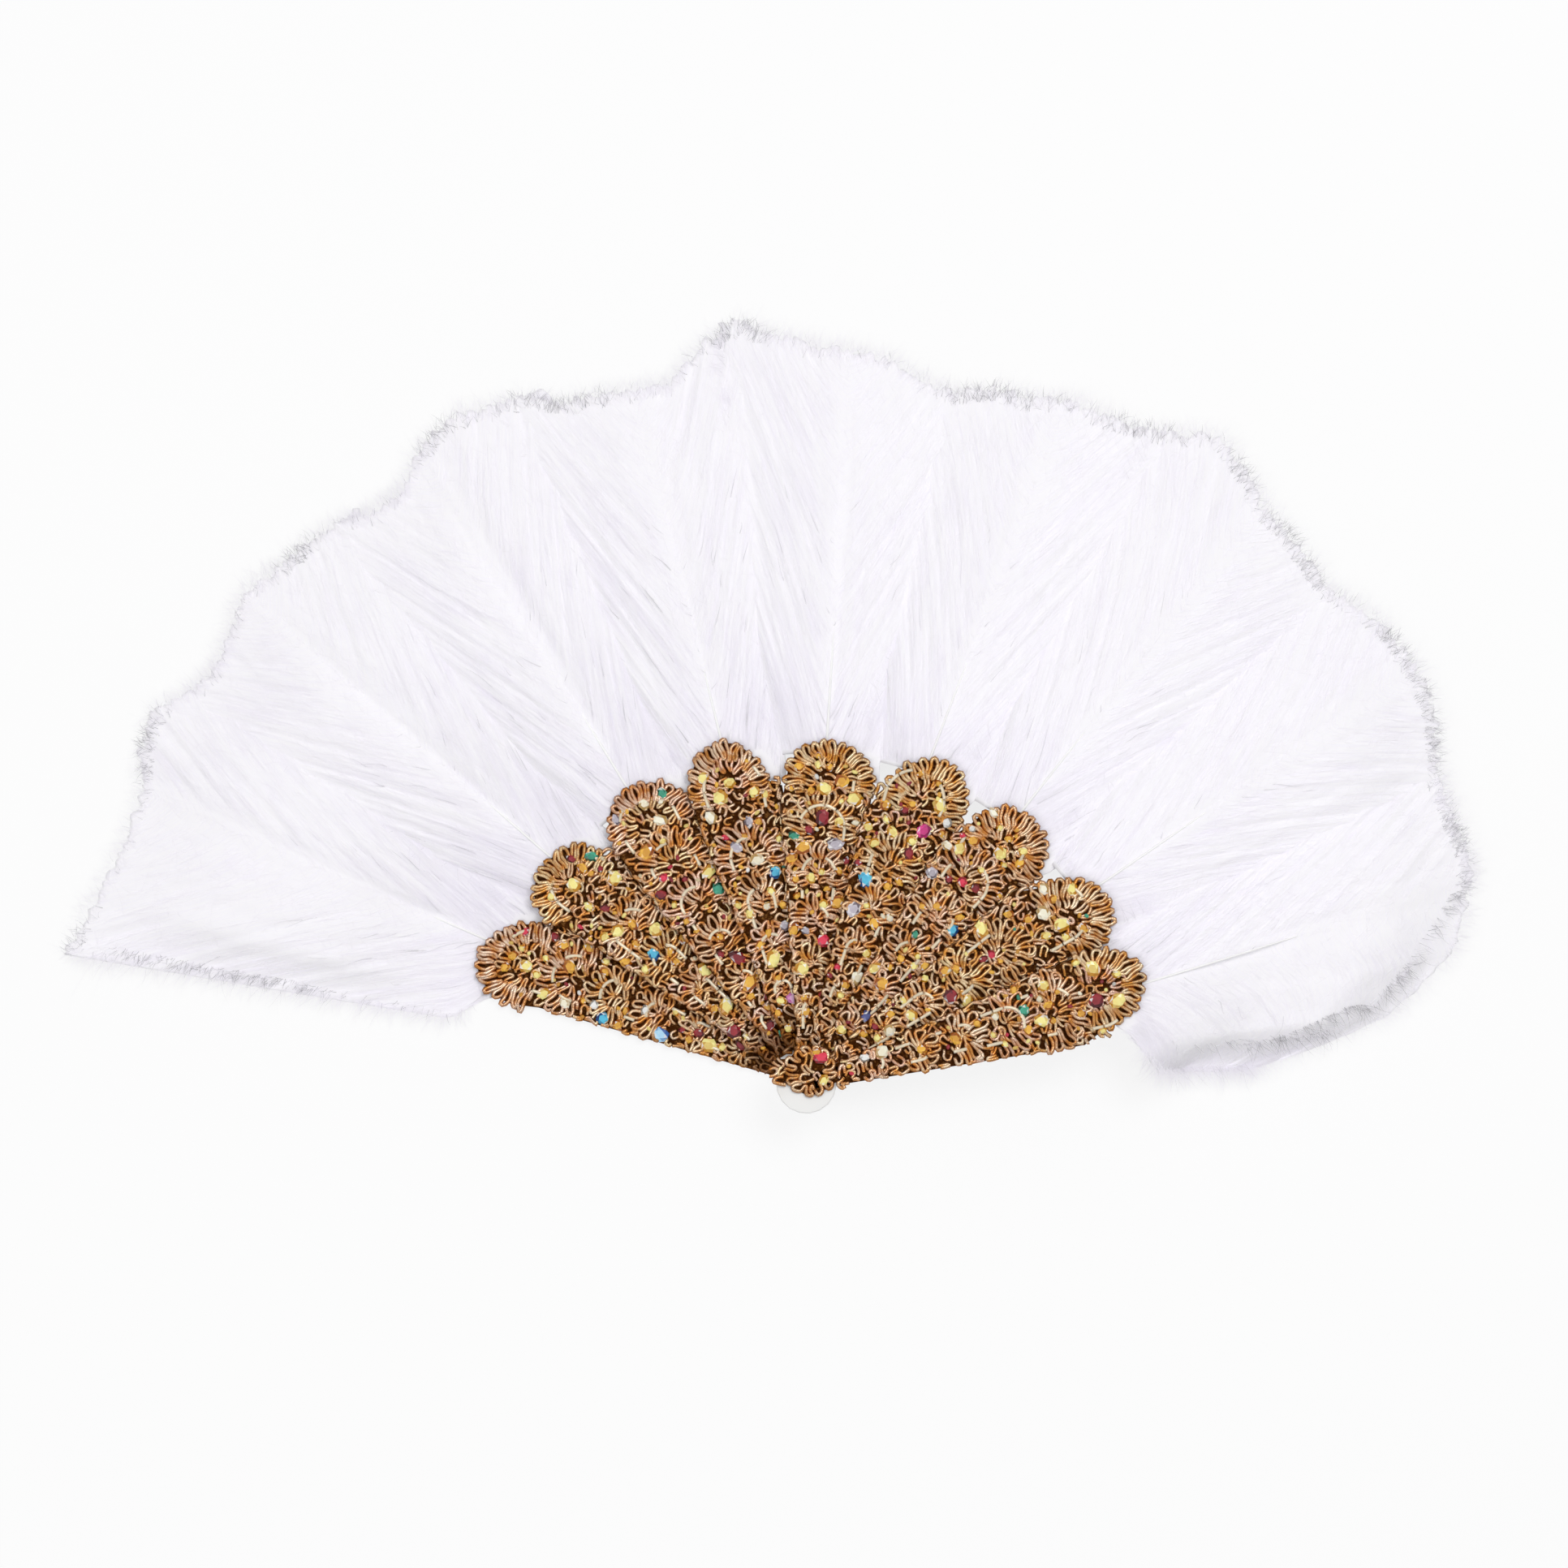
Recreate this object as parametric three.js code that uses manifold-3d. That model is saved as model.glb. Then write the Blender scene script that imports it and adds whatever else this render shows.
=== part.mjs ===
import * as THREE from "three";
import { mergeVertices } from "three/addons/utils/BufferGeometryUtils.js";
import Module from "manifold-3d";

// A folding feather fan, fully open and lying on its back. Millimetres, +Z up.
// The rivet stands on the Z axis, and the middle stick points along +Y.
// The sticks stack one above the other on the rivet, the left one lowest.

// The whole fan
const STICK_COUNT = 9;
const STICK_PITCH_DEG = 17.5;
const RUNNING_GAP = 0.3;
const SEAT_GAP = 0.3;

// Plastic sticks
const GUARD_THICK = 1.6;
const INNER_THICK = 1.2;
const BOSS_RADIUS = 10.5;
const BOSS_CHAMFER = 0.4;
const BLADE_ROOT_HALF = 3;
const BLADE_TIP_HALF = 9.5;
const BLADE_SHOULDER = 102;
const BLADE_END = 112;
const PIERCING_COUNT = 3;
const PIERCING_START = 15;
const PIERCING_LENGTH = 17;
const PIERCING_STEP = 20.5;
const PIERCING_HALF = 2.1;
const PIERCING_GROWTH = 0.7;

// Rivet
const PIN_RADIUS = 1.6;
const PIN_HOLE_RADIUS = PIN_RADIUS + RUNNING_GAP;
const HEAD_RADIUS = 3.4;
const HEAD_THICK = 0.8;
const CAP_THICK = 0.5;
const CAP_GAP = 0.2;
const CAP_RECESS = CAP_THICK + 2 * CAP_GAP;

// Beadwork panels
const PANEL_THICK = 1.8;
const BACKING_THICK = 0.5;
const PANEL_BOSS_GAP = 1.5;
const PANEL_START = BOSS_RADIUS + PANEL_BOSS_GAP;
const PANEL_START_HALF = 3.9;
const LOBE_RADIUS = 17;
const LOBE_TIP = 122;
const LOBE_TAIL_DEG = 12;
// The front panel has a round end, set to one side of the rivet so that it hides the rivet cap
const PIVOT_COVER_RADIUS = 9.3;
const PIVOT_COVER_ASIDE = 3.9;
const PIVOT_COVER_UP = 2.7;
const LOBE_LOOP_PITCH = 4.4;
const SHELL_LOOP_PITCH = 5.2;
const LOOP_DEPTH = 1.5;
const LOOP_BAND_SHARE = 0.42;
const CORD_LINE_WIDTH = 1.3;
const CORD_LINE_GAP = 0.7;
const CORD_LINE_RISE = 0.1;
const CORD_LINE_ROWS = 2;
const STONE_RADIUS = 2.7;
const STONE_TABLE_RADIUS = 1.5;
// Shells below the lobe. They start lower on every other panel, so that neighbours lie like fish scales.
const SHELL_COUNT = 4;
const SHELL_TIP = 103;
const SHELL_STEP = 18;
const SHELL_STAGGER = 9;
const SHELL_WIDTH_SHARE = 0.92;

// Quills
const QUILL_SEATED = 19.6;
const QUILL_BUTT = BLADE_END - QUILL_SEATED;
const QUILL_BUTT_HALF_WIDTH = 1.0;
const QUILL_BUTT_HALF_THICK = 0.4;
const QUILL_END_HALF_WIDTH = 0.4;
const QUILL_END_HALF_THICK = 0.3;
const QUILL_SHORT_OF_TIP = 32;
const QUILL_SIDES = 6;
const QUILL_STATIONS = 7;
const DROOP_LEVEL_RUN = 2;
const DROOP_START = LOBE_TIP + DROOP_LEVEL_RUN;
const DROOP_SHORT_OF_TIP = 44;
const DROOP_HEIGHT = 8;
const DROOP_SHARE = 0.7;

// Marabou plumes
const PLUME_ROOT_GAP = 2;
const PLUME_REACH = 259;
const PLUME_REACH_EXTRA = [1, 1, 5, -6, 3, -3, 4, 2, -10];
const DROOP_END = PLUME_REACH - DROOP_SHORT_OF_TIP;
const PLUME_QUILL_COVER = 1.2;
const PLUME_SIDE_GAP_DEG = 0.15;
const PLUME_LEFT_SPREAD_DEG = 14;
const PLUME_RIGHT_SPREAD_DEG = 15.5;
const PLUME_EDGE_DROP = 0.025;
const PLUME_RIGHT_DROP = 0.42;
const PLUME_CROWN = 13;
const PLUME_CROWN_RISE = 0.3;
const PLUME_RIM = 3;
const PLUME_RIM_LIFT = 1;
const PLUME_UNDER_ROOT = 2;
const PLUME_SIDE_FALL = 0.32;
const PLUME_LOBE_COUNT = 3;
const PLUME_LOBE_DEPTH = 3;
const PLUME_ROWS = [0.14, 0.28, 0.44, 0.62, 0.82, 1];
const PLUME_COLUMNS = 8;

// Spacing ribbon on the back
const RIBBON_BELOW_SHOULDER = 23;
const RIBBON_INNER = BLADE_SHOULDER - RIBBON_BELOW_SHOULDER;
const RIBBON_WIDTH = 6;
const RIBBON_THICK = 0.3;
const RIBBON_LIFT = 0.1;
const GROOVE_DEPTH = 0.6;
const RIBBON_EDGE_GAP = 0.7;
const RIBBON_RISE_RUN = 1.7;
const RIBBON_LAP = 2.2;

// Smoothness of round pieces
const ROUND_SIDES = 18;
const CURVE_STEPS = 4;

const LAST = STICK_COUNT - 1;
const HALF_PITCH = THREE.MathUtils.degToRad(STICK_PITCH_DEG / 2);
const PLUME_SIDE_GAP = THREE.MathUtils.degToRad(PLUME_SIDE_GAP_DEG);
const LOBE_CENTRE = LOBE_TIP - LOBE_RADIUS;
const LOBE_EDGE = LOBE_RADIUS - LOOP_DEPTH / 2;
const RIBBON_OUTER = RIBBON_INNER + RIBBON_WIDTH;
const SLOT_HALF = QUILL_BUTT_HALF_WIDTH + SEAT_GAP;
const SLOT_START = QUILL_BUTT - SEAT_GAP;

const wasm = await Module();
wasm.setup();

const isGuard = (k) => k === 0 || k === LAST;
const bladeThick = (k) => (isGuard(k) ? GUARD_THICK : INNER_THICK);
const stickName = (k) => (k === 0 ? "back_guard" : k === LAST ? "front_guard" : `stick_${k + 1}`);
const stackHeight = (k) => bladeThick(k) + PANEL_THICK;
const stickAngle = (k) => (LAST / 2 - k) * THREE.MathUtils.degToRad(STICK_PITCH_DEG);

// Height of the underside of a stick, counted up the stack on the rivet
function levelOf(k) {
  let z = 0;
  for (let i = 0; i < k; i += 1) z += stackHeight(i) + RUNNING_GAP;
  return z;
}

// Half width of a blade or a panel at a distance out from the rivet
const halfAt = (y, startY, startHalf, endY, endHalf) =>
  startHalf + ((endHalf - startHalf) * (y - startY)) / (endY - startY);
const bladeHalf = (y) => halfAt(y, 0, BLADE_ROOT_HALF, BLADE_SHOULDER, BLADE_TIP_HALF);
const panelHalf = (y) => halfAt(y, PANEL_START, PANEL_START_HALF, LOBE_CENTRE, LOBE_EDGE);

function toSolid(geometry) {
  const plain = geometry.clone();
  plain.deleteAttribute("normal");
  plain.deleteAttribute("uv");
  const merged = mergeVertices(plain, 1e-4);
  const vertProperties = new Float32Array(merged.attributes.position.array);
  const triVerts = new Uint32Array(merged.index.array);
  return new wasm.Manifold(new wasm.Mesh({ numProp: 3, vertProperties, triVerts }));
}

function toGeometry(solid) {
  const mesh = solid.getMesh();
  const geometry = new THREE.BufferGeometry();
  geometry.setAttribute("position", new THREE.BufferAttribute(mesh.vertProperties, 3));
  geometry.setIndex(new THREE.BufferAttribute(mesh.triVerts, 1));
  geometry.computeVertexNormals();
  return geometry;
}

const unite = (solids) => solids.reduce((sum, solid) => sum.add(solid));

function slab(shape, zLow, zHigh, steps = CURVE_STEPS) {
  const options = { depth: zHigh - zLow, bevelEnabled: false, curveSegments: steps };
  return new THREE.ExtrudeGeometry(shape, options).translate(0, 0, zLow);
}

function turned(profile, sides = ROUND_SIDES) {
  const points = profile.map(([radius, z]) => new THREE.Vector2(radius, z));
  return new THREE.LatheGeometry(points, sides).rotateX(Math.PI / 2);
}

const disc = (radius, zLow, zHigh) =>
  turned([
    [0, zLow],
    [radius, zLow],
    [radius, zHigh],
    [0, zHigh],
  ]);

// Part of a flat ring about a point on the stick's centre line, angles from the +X side
function ringSector(inner, outer, from, to, centreY = 0) {
  const shape = new THREE.Shape();
  shape.absarc(0, centreY, outer, from, to, false);
  shape.absarc(0, centreY, inner, to, from, true);
  return shape;
}

// Sticks

function bladeShape() {
  const shape = new THREE.Shape();
  shape.moveTo(-BLADE_ROOT_HALF, 0);
  shape.lineTo(BLADE_ROOT_HALF, 0);
  shape.lineTo(BLADE_TIP_HALF, BLADE_SHOULDER);
  shape.quadraticCurveTo(BLADE_TIP_HALF, BLADE_END, SLOT_HALF, BLADE_END);
  shape.lineTo(SLOT_HALF, SLOT_START);
  shape.lineTo(-SLOT_HALF, SLOT_START);
  shape.lineTo(-SLOT_HALF, BLADE_END);
  shape.quadraticCurveTo(-BLADE_TIP_HALF, BLADE_END, -BLADE_TIP_HALF, BLADE_SHOULDER);
  shape.closePath();
  return shape;
}

// A leaf-shaped opening in the blade
function piercing(index) {
  const low = PIERCING_START + index * PIERCING_STEP;
  const high = low + PIERCING_LENGTH;
  const bulge = 2 * (PIERCING_HALF + index * PIERCING_GROWTH);
  const middle = (low + high) / 2;
  const path = new THREE.Path();
  path.moveTo(0, low);
  path.quadraticCurveTo(bulge, middle, 0, high);
  path.quadraticCurveTo(-bulge, middle, 0, low);
  return path;
}

function stickSolid(k) {
  const blade = bladeShape();
  if (!isGuard(k)) {
    for (let i = 0; i < PIERCING_COUNT; i += 1) blade.holes.push(piercing(i));
  }
  const bossTop = k === LAST ? GUARD_THICK : stackHeight(k);
  const boss = turned([
    [0, 0],
    [BOSS_RADIUS, 0],
    [BOSS_RADIUS, bossTop - BOSS_CHAMFER],
    [BOSS_RADIUS - BOSS_CHAMFER, bossTop],
    [0, bossTop],
  ]);
  const groove = ringSector(
    RIBBON_INNER - SEAT_GAP,
    RIBBON_OUTER + SEAT_GAP,
    Math.PI / 2 - HALF_PITCH,
    Math.PI / 2 + HALF_PITCH,
  );
  let solid = toSolid(slab(blade, 0, bladeThick(k))).add(toSolid(boss));
  solid = solid.subtract(toSolid(disc(PIN_HOLE_RADIUS, -1, bossTop + 1)));
  solid = solid.subtract(toSolid(slab(groove, -1, GROOVE_DEPTH)));
  if (k === 0) {
    solid = solid.subtract(toSolid(disc(HEAD_RADIUS + SEAT_GAP, -1, HEAD_THICK + SEAT_GAP)));
  }
  if (k === LAST) {
    solid = solid.subtract(toSolid(disc(HEAD_RADIUS + SEAT_GAP, bossTop - CAP_RECESS, bossTop + 1)));
  }
  return solid;
}

// Rivet: a headed pin, and the cap that its end is closed over

function rivetPin() {
  const top = levelOf(LAST) + GUARD_THICK - SEAT_GAP;
  return turned([
    [0, 0],
    [HEAD_RADIUS, 0],
    [HEAD_RADIUS, HEAD_THICK],
    [PIN_RADIUS, HEAD_THICK],
    [PIN_RADIUS, top],
    [0, top],
  ]);
}

function rivetCap() {
  const low = levelOf(LAST) + GUARD_THICK - CAP_RECESS + (CAP_RECESS - CAP_THICK) / 2;
  const cap = toSolid(disc(HEAD_RADIUS, low, low + CAP_THICK));
  return toGeometry(cap.subtract(toSolid(disc(PIN_HOLE_RADIUS, low - 1, low + CAP_THICK + 1))));
}

// Beadwork panels

function backingShape(k) {
  const start = k === LAST ? PIVOT_COVER_UP : PANEL_START;
  const shape = new THREE.Shape();
  shape.moveTo(-PANEL_START_HALF, start);
  shape.lineTo(PANEL_START_HALF, start);
  shape.absarc(0, LOBE_CENTRE, LOBE_EDGE, 0, Math.PI, false);
  shape.closePath();
  return shape;
}

// The band of bullion loops round the head of a shell: its outer edge runs out and in with each loop
function loopBand(tip, radius, pitch, tailDegrees, pointsPerLoop) {
  const tail = THREE.MathUtils.degToRad(tailDegrees);
  const sweep = Math.PI + 2 * tail;
  const loops = Math.round((sweep * radius) / pitch);
  const steps = loops * pointsPerLoop;
  const inner = radius * (1 - LOOP_BAND_SHARE);
  const shape = new THREE.Shape();
  for (let i = 0; i <= steps; i += 1) {
    const swell = Math.abs(Math.sin((Math.PI * i) / pointsPerLoop));
    const reach = radius - LOOP_DEPTH * (1 - swell);
    const turn = -tail + (sweep * i) / steps;
    const x = reach * Math.cos(turn);
    const y = tip - radius + reach * Math.sin(turn);
    if (i === 0) shape.moveTo(x, y);
    else shape.lineTo(x, y);
  }
  shape.absarc(0, tip - radius, inner, Math.PI + tail, -tail, true);
  return shape;
}

// The straight-laid cord line inside the loops
function cordLine(tip, radius) {
  const outer = radius * (1 - LOOP_BAND_SHARE) - CORD_LINE_GAP;
  return ringSector(outer - CORD_LINE_WIDTH, outer, 0, Math.PI, tip - radius);
}

function stone(y, radius) {
  const size = Math.min(1, radius / 10);
  const height = PANEL_THICK - BACKING_THICK / 2;
  return new THREE.CylinderGeometry(STONE_TABLE_RADIUS * size, STONE_RADIUS * size, height, 6)
    .rotateX(Math.PI / 2)
    .translate(0, y, BACKING_THICK / 2 + height / 2);
}

function panelSolid(k) {
  const shells = [{ tip: LOBE_TIP, radius: LOBE_RADIUS }];
  for (let i = 0; i < SHELL_COUNT; i += 1) {
    const tip = SHELL_TIP - (k % 2) * SHELL_STAGGER - i * SHELL_STEP;
    shells.push({ tip, radius: SHELL_WIDTH_SHARE * panelHalf(tip) });
  }
  const solids = [toSolid(slab(backingShape(k), 0, BACKING_THICK))];
  shells.forEach(({ tip, radius }, row) => {
    const rise = (PANEL_THICK - BACKING_THICK) * (0.55 + 0.1 * row);
    const low = BACKING_THICK / 2;
    const band =
      row === 0
        ? loopBand(tip, radius, LOBE_LOOP_PITCH, LOBE_TAIL_DEG, 3)
        : loopBand(tip, radius, SHELL_LOOP_PITCH, 0, 2);
    solids.push(toSolid(slab(band, low, BACKING_THICK + rise)));
    if (row < CORD_LINE_ROWS) {
      solids.push(toSolid(slab(cordLine(tip, radius), low, BACKING_THICK + rise + CORD_LINE_RISE)));
    }
    solids.push(toSolid(stone(tip - radius, radius)));
  });
  if (k === LAST) {
    const ring = loopBand(PIVOT_COVER_RADIUS, PIVOT_COVER_RADIUS, SHELL_LOOP_PITCH, 90, 2);
    const low = BACKING_THICK / 2;
    const end = [
      disc(PIVOT_COVER_RADIUS - LOOP_DEPTH, 0, BACKING_THICK),
      slab(ring, low, PANEL_THICK - CORD_LINE_RISE),
      stone(0, PIVOT_COVER_RADIUS),
    ];
    end.forEach((geometry) => {
      solids.push(toSolid(geometry.translate(-PIVOT_COVER_ASIDE, PIVOT_COVER_UP, 0)));
    });
  }
  return unite(solids);
}

// Quills and plumes. A quill leaves the end of its stick level, then sinks towards the table, the upper
// ones further, so that the plumes lie together; the order of the stack is kept all the way out.

const tipReach = (k) => PLUME_REACH + PLUME_REACH_EXTRA[k % PLUME_REACH_EXTRA.length];
const smooth = (x, from, to) => THREE.MathUtils.smoothstep(x, from, to);

function quillHeight(k, y) {
  const start = levelOf(k) + bladeThick(k) / 2;
  return start + (DROOP_HEIGHT - start) * DROOP_SHARE * smooth(y, DROOP_START, DROOP_END);
}

function quillGeometry(k, extra = 0) {
  const end = tipReach(k) - QUILL_SHORT_OF_TIP;
  const positions = [];
  const index = [];
  for (let i = 0; i <= QUILL_STATIONS; i += 1) {
    const share = i / QUILL_STATIONS;
    const overrun = i === QUILL_STATIONS ? extra : i === 0 ? -extra : 0;
    const y = THREE.MathUtils.lerp(QUILL_BUTT, end, share) + overrun;
    const halfWidth = THREE.MathUtils.lerp(QUILL_BUTT_HALF_WIDTH, QUILL_END_HALF_WIDTH, share) + extra;
    const halfThick = THREE.MathUtils.lerp(QUILL_BUTT_HALF_THICK, QUILL_END_HALF_THICK, share) + extra;
    for (let j = 0; j < QUILL_SIDES; j += 1) {
      const turn = (2 * Math.PI * j) / QUILL_SIDES;
      positions.push(halfWidth * Math.cos(turn), y, quillHeight(k, y) + halfThick * Math.sin(turn));
    }
  }
  for (let i = 0; i < QUILL_STATIONS; i += 1) {
    for (let j = 0; j < QUILL_SIDES; j += 1) {
      const a = i * QUILL_SIDES + j;
      const b = i * QUILL_SIDES + ((j + 1) % QUILL_SIDES);
      index.push(a, a + QUILL_SIDES, b, b, a + QUILL_SIDES, b + QUILL_SIDES);
    }
  }
  const last = QUILL_STATIONS * QUILL_SIDES;
  for (let j = 1; j < QUILL_SIDES - 1; j += 1) {
    index.push(0, j, j + 1);
    index.push(last, last + j + 1, last + j);
  }
  const geometry = new THREE.BufferGeometry();
  geometry.setAttribute("position", new THREE.Float32BufferAttribute(positions, 3));
  geometry.setIndex(index);
  geometry.computeVertexNormals();
  return geometry;
}

// How far out the plume reaches along one of its barb lines; t runs from -1 on its right to 1 on its left
function plumeReach(k, t) {
  const tip = tipReach(k);
  const wide = Math.abs(t);
  const lobes = PLUME_LOBE_DEPTH * (1 - Math.abs(Math.cos((PLUME_LOBE_COUNT * Math.PI * t) / 2)));
  if (k === LAST && t < 0) return tip * (1 - PLUME_RIGHT_DROP * wide ** 2.5) - lobes;
  if (k === 0 && t > 0) return tip - lobes;
  return tip * (1 - PLUME_EDGE_DROP * wide ** 3) - lobes;
}

// The outer side of each end plume has no neighbour, so it spreads wider than one pitch
function plumeTurn(k, share, t) {
  const shared = HALF_PITCH - PLUME_SIDE_GAP;
  let free = shared;
  if (k === 0 && t > 0) free = THREE.MathUtils.degToRad(PLUME_LEFT_SPREAD_DEG);
  if (k === LAST && t < 0) free = THREE.MathUtils.degToRad(PLUME_RIGHT_SPREAD_DEG);
  return Math.PI / 2 + t * THREE.MathUtils.lerp(shared, free, smooth(share, -0.05, 0.25));
}

// The plume starts past the end of its stick, where its sides have left the lobes of its neighbours
function plumeRoot() {
  const side = HALF_PITCH + PLUME_SIDE_GAP;
  const clear = (LOBE_RADIUS + SEAT_GAP) ** 2 - (LOBE_CENTRE * Math.sin(side)) ** 2;
  const lobeLeft = LOBE_CENTRE * Math.cos(side) + Math.sqrt(Math.max(0, clear));
  return Math.max(BLADE_END, lobeLeft) + PLUME_ROOT_GAP;
}

// Shares of the way out from the root to the tip: the root, the tip of the lobe above it, and the rest
function plumeRows(k) {
  const root = plumeRoot();
  return [0, (DROOP_START - root) / (tipReach(k) * (1 - PLUME_EDGE_DROP) - root), ...PLUME_ROWS];
}

function plumeTop(k, share, t, radius) {
  const z = levelOf(k);
  const rootTop = z + bladeThick(k) - SEAT_GAP;
  const crown = (PLUME_CROWN + PLUME_CROWN_RISE * z) * (1 - PLUME_SIDE_FALL * t * t);
  const rim = PLUME_RIM_LIFT + PLUME_RIM + PLUME_CROWN_RISE * z * 0.5;
  const full = THREE.MathUtils.lerp(rootTop, crown, smooth(share, plumeRows(k)[1], 0.45));
  const top = THREE.MathUtils.lerp(full, rim, smooth(share, 0.7, 1.05));
  const overQuill = t === 0 && share > plumeRows(k)[1] && radius < tipReach(k) - QUILL_SHORT_OF_TIP;
  return overQuill ? Math.max(top, quillHeight(k, radius) + PLUME_QUILL_COVER) : top;
}

function plumeBottom(k, share, t) {
  const root = Math.max(0, levelOf(k) - PLUME_UNDER_ROOT);
  const lift = PLUME_RIM_LIFT * Math.max(smooth(share, 0.85, 1), smooth(Math.abs(t), 0.75, 1));
  return root * (1 - smooth(share, plumeRows(k)[1], 0.4)) + lift * smooth(share, 0.3, 0.6);
}

function plumeSolid(k) {
  const columns = PLUME_COLUMNS + 1;
  const shares = plumeRows(k);
  const rows = shares.length;
  const root = plumeRoot();
  const positions = [];
  for (const heightOf of [plumeTop, plumeBottom]) {
    for (const share of shares) {
      for (let j = 0; j < columns; j += 1) {
        const t = 1 - (2 * j) / PLUME_COLUMNS;
        const radius = THREE.MathUtils.lerp(root, plumeReach(k, t), share);
        const turn = plumeTurn(k, share, t);
        const height = heightOf(k, share, t, radius);
        positions.push(radius * Math.cos(turn), radius * Math.sin(turn), height);
      }
    }
  }
  const under = rows * columns;
  const index = [];
  const quad = (a, b, c, d) => index.push(a, b, c, a, c, d);
  for (let i = 0; i < rows - 1; i += 1) {
    for (let j = 0; j < columns - 1; j += 1) {
      const a = i * columns + j;
      quad(a, a + 1, a + 1 + columns, a + columns);
      quad(under + a, under + a + columns, under + a + 1 + columns, under + a + 1);
    }
    const left = i * columns;
    const right = left + columns - 1;
    quad(left, left + columns, under + left + columns, under + left);
    quad(right + columns, right, under + right, under + right + columns);
  }
  for (let j = 0; j < columns - 1; j += 1) {
    const far = (rows - 1) * columns + j;
    quad(j + 1, j, under + j, under + j + 1);
    quad(far, far + 1, under + far + 1, under + far);
  }
  const geometry = new THREE.BufferGeometry();
  geometry.setAttribute("position", new THREE.Float32BufferAttribute(positions, 3));
  geometry.setIndex(index);
  return toSolid(geometry).subtract(toSolid(quillGeometry(k, SEAT_GAP)));
}

// Ribbon links: each lies in the groove of its own stick, passes under the edge of the panel,
// and climbs to the underside of the next stick

const turnAt = (half) => Math.atan2(half, RIBBON_INNER);

function ribbonGeometry(k) {
  const low = RIBBON_LIFT;
  const high = stackHeight(k) - RIBBON_THICK;
  const bladeEdge = turnAt(bladeHalf(RIBBON_INNER));
  const riseStart = turnAt(panelHalf(RIBBON_INNER) + RIBBON_EDGE_GAP);
  const riseEnd = riseStart + turnAt(RIBBON_RISE_RUN);
  const far = Math.max(riseEnd, 2 * HALF_PITCH - bladeEdge) + turnAt(RIBBON_LAP);
  const near = far - 2 * HALF_PITCH + turnAt(SEAT_GAP);
  const stops = [
    [near, low],
    [bladeEdge, low],
  ];
  if (k < LAST) stops.push([riseStart, low], [riseEnd, high], [far, high]);
  const positions = [];
  const index = [];
  for (const [right, z] of stops) {
    const turn = Math.PI / 2 - right;
    for (const radius of [RIBBON_INNER, RIBBON_OUTER]) {
      for (const height of [z, z + RIBBON_THICK]) {
        positions.push(radius * Math.cos(turn), radius * Math.sin(turn), height);
      }
    }
  }
  const quad = (a, b, c, d) => index.push(a, b, c, a, c, d);
  for (let i = 0; i < stops.length - 1; i += 1) {
    const a = 4 * i;
    const b = a + 4;
    quad(a, b, b + 1, a + 1);
    quad(a + 2, a + 3, b + 3, b + 2);
    quad(a + 1, b + 1, b + 3, a + 3);
    quad(a, a + 2, b + 2, b);
  }
  const end = 4 * (stops.length - 1);
  quad(0, 1, 3, 2);
  quad(end, end + 2, end + 3, end + 1);
  const geometry = new THREE.BufferGeometry();
  geometry.setAttribute("position", new THREE.Float32BufferAttribute(positions, 3));
  geometry.setIndex(index);
  geometry.computeVertexNormals();
  return geometry;
}

// The fan

const fan = new THREE.Group();
fan.name = "feather_fan";

function place(name, geometry, look, turn = 0, z = 0) {
  const mesh = new THREE.Mesh(geometry, new THREE.MeshStandardMaterial(look));
  mesh.name = name;
  mesh.rotation.z = turn;
  mesh.position.z = z;
  fan.add(mesh);
}

const PLASTIC = { color: 0xf4f2ee, roughness: 0.35, metalness: 0 };
const GOLD = { color: 0xc88f45, roughness: 0.35, metalness: 0.8 };
const FEATHER = { color: 0xf6f5fb, roughness: 0.9, metalness: 0 };
const QUILL = { color: 0xfbf8f0, roughness: 0.5, metalness: 0 };
const RIBBON = { color: 0xf2efe6, roughness: 0.6, metalness: 0 };
const METAL = { color: 0xd9d9dc, roughness: 0.3, metalness: 1 };

for (let k = 0; k < STICK_COUNT; k += 1) {
  const turn = stickAngle(k);
  const level = levelOf(k);
  place(stickName(k), toGeometry(stickSolid(k)), PLASTIC, turn, level);
  place(`bead_panel_${k + 1}`, toGeometry(panelSolid(k)), GOLD, turn, level + bladeThick(k));
  place(`quill_${k + 1}`, quillGeometry(k), QUILL, turn);
  place(`plume_${k + 1}`, toGeometry(plumeSolid(k)), FEATHER, turn);
  place(`ribbon_${k + 1}`, ribbonGeometry(k), RIBBON, turn, level);
}
place("rivet_pin", rivetPin(), METAL);
place("rivet_cap", rivetCap(), METAL);

export default fan;
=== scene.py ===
import math

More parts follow.
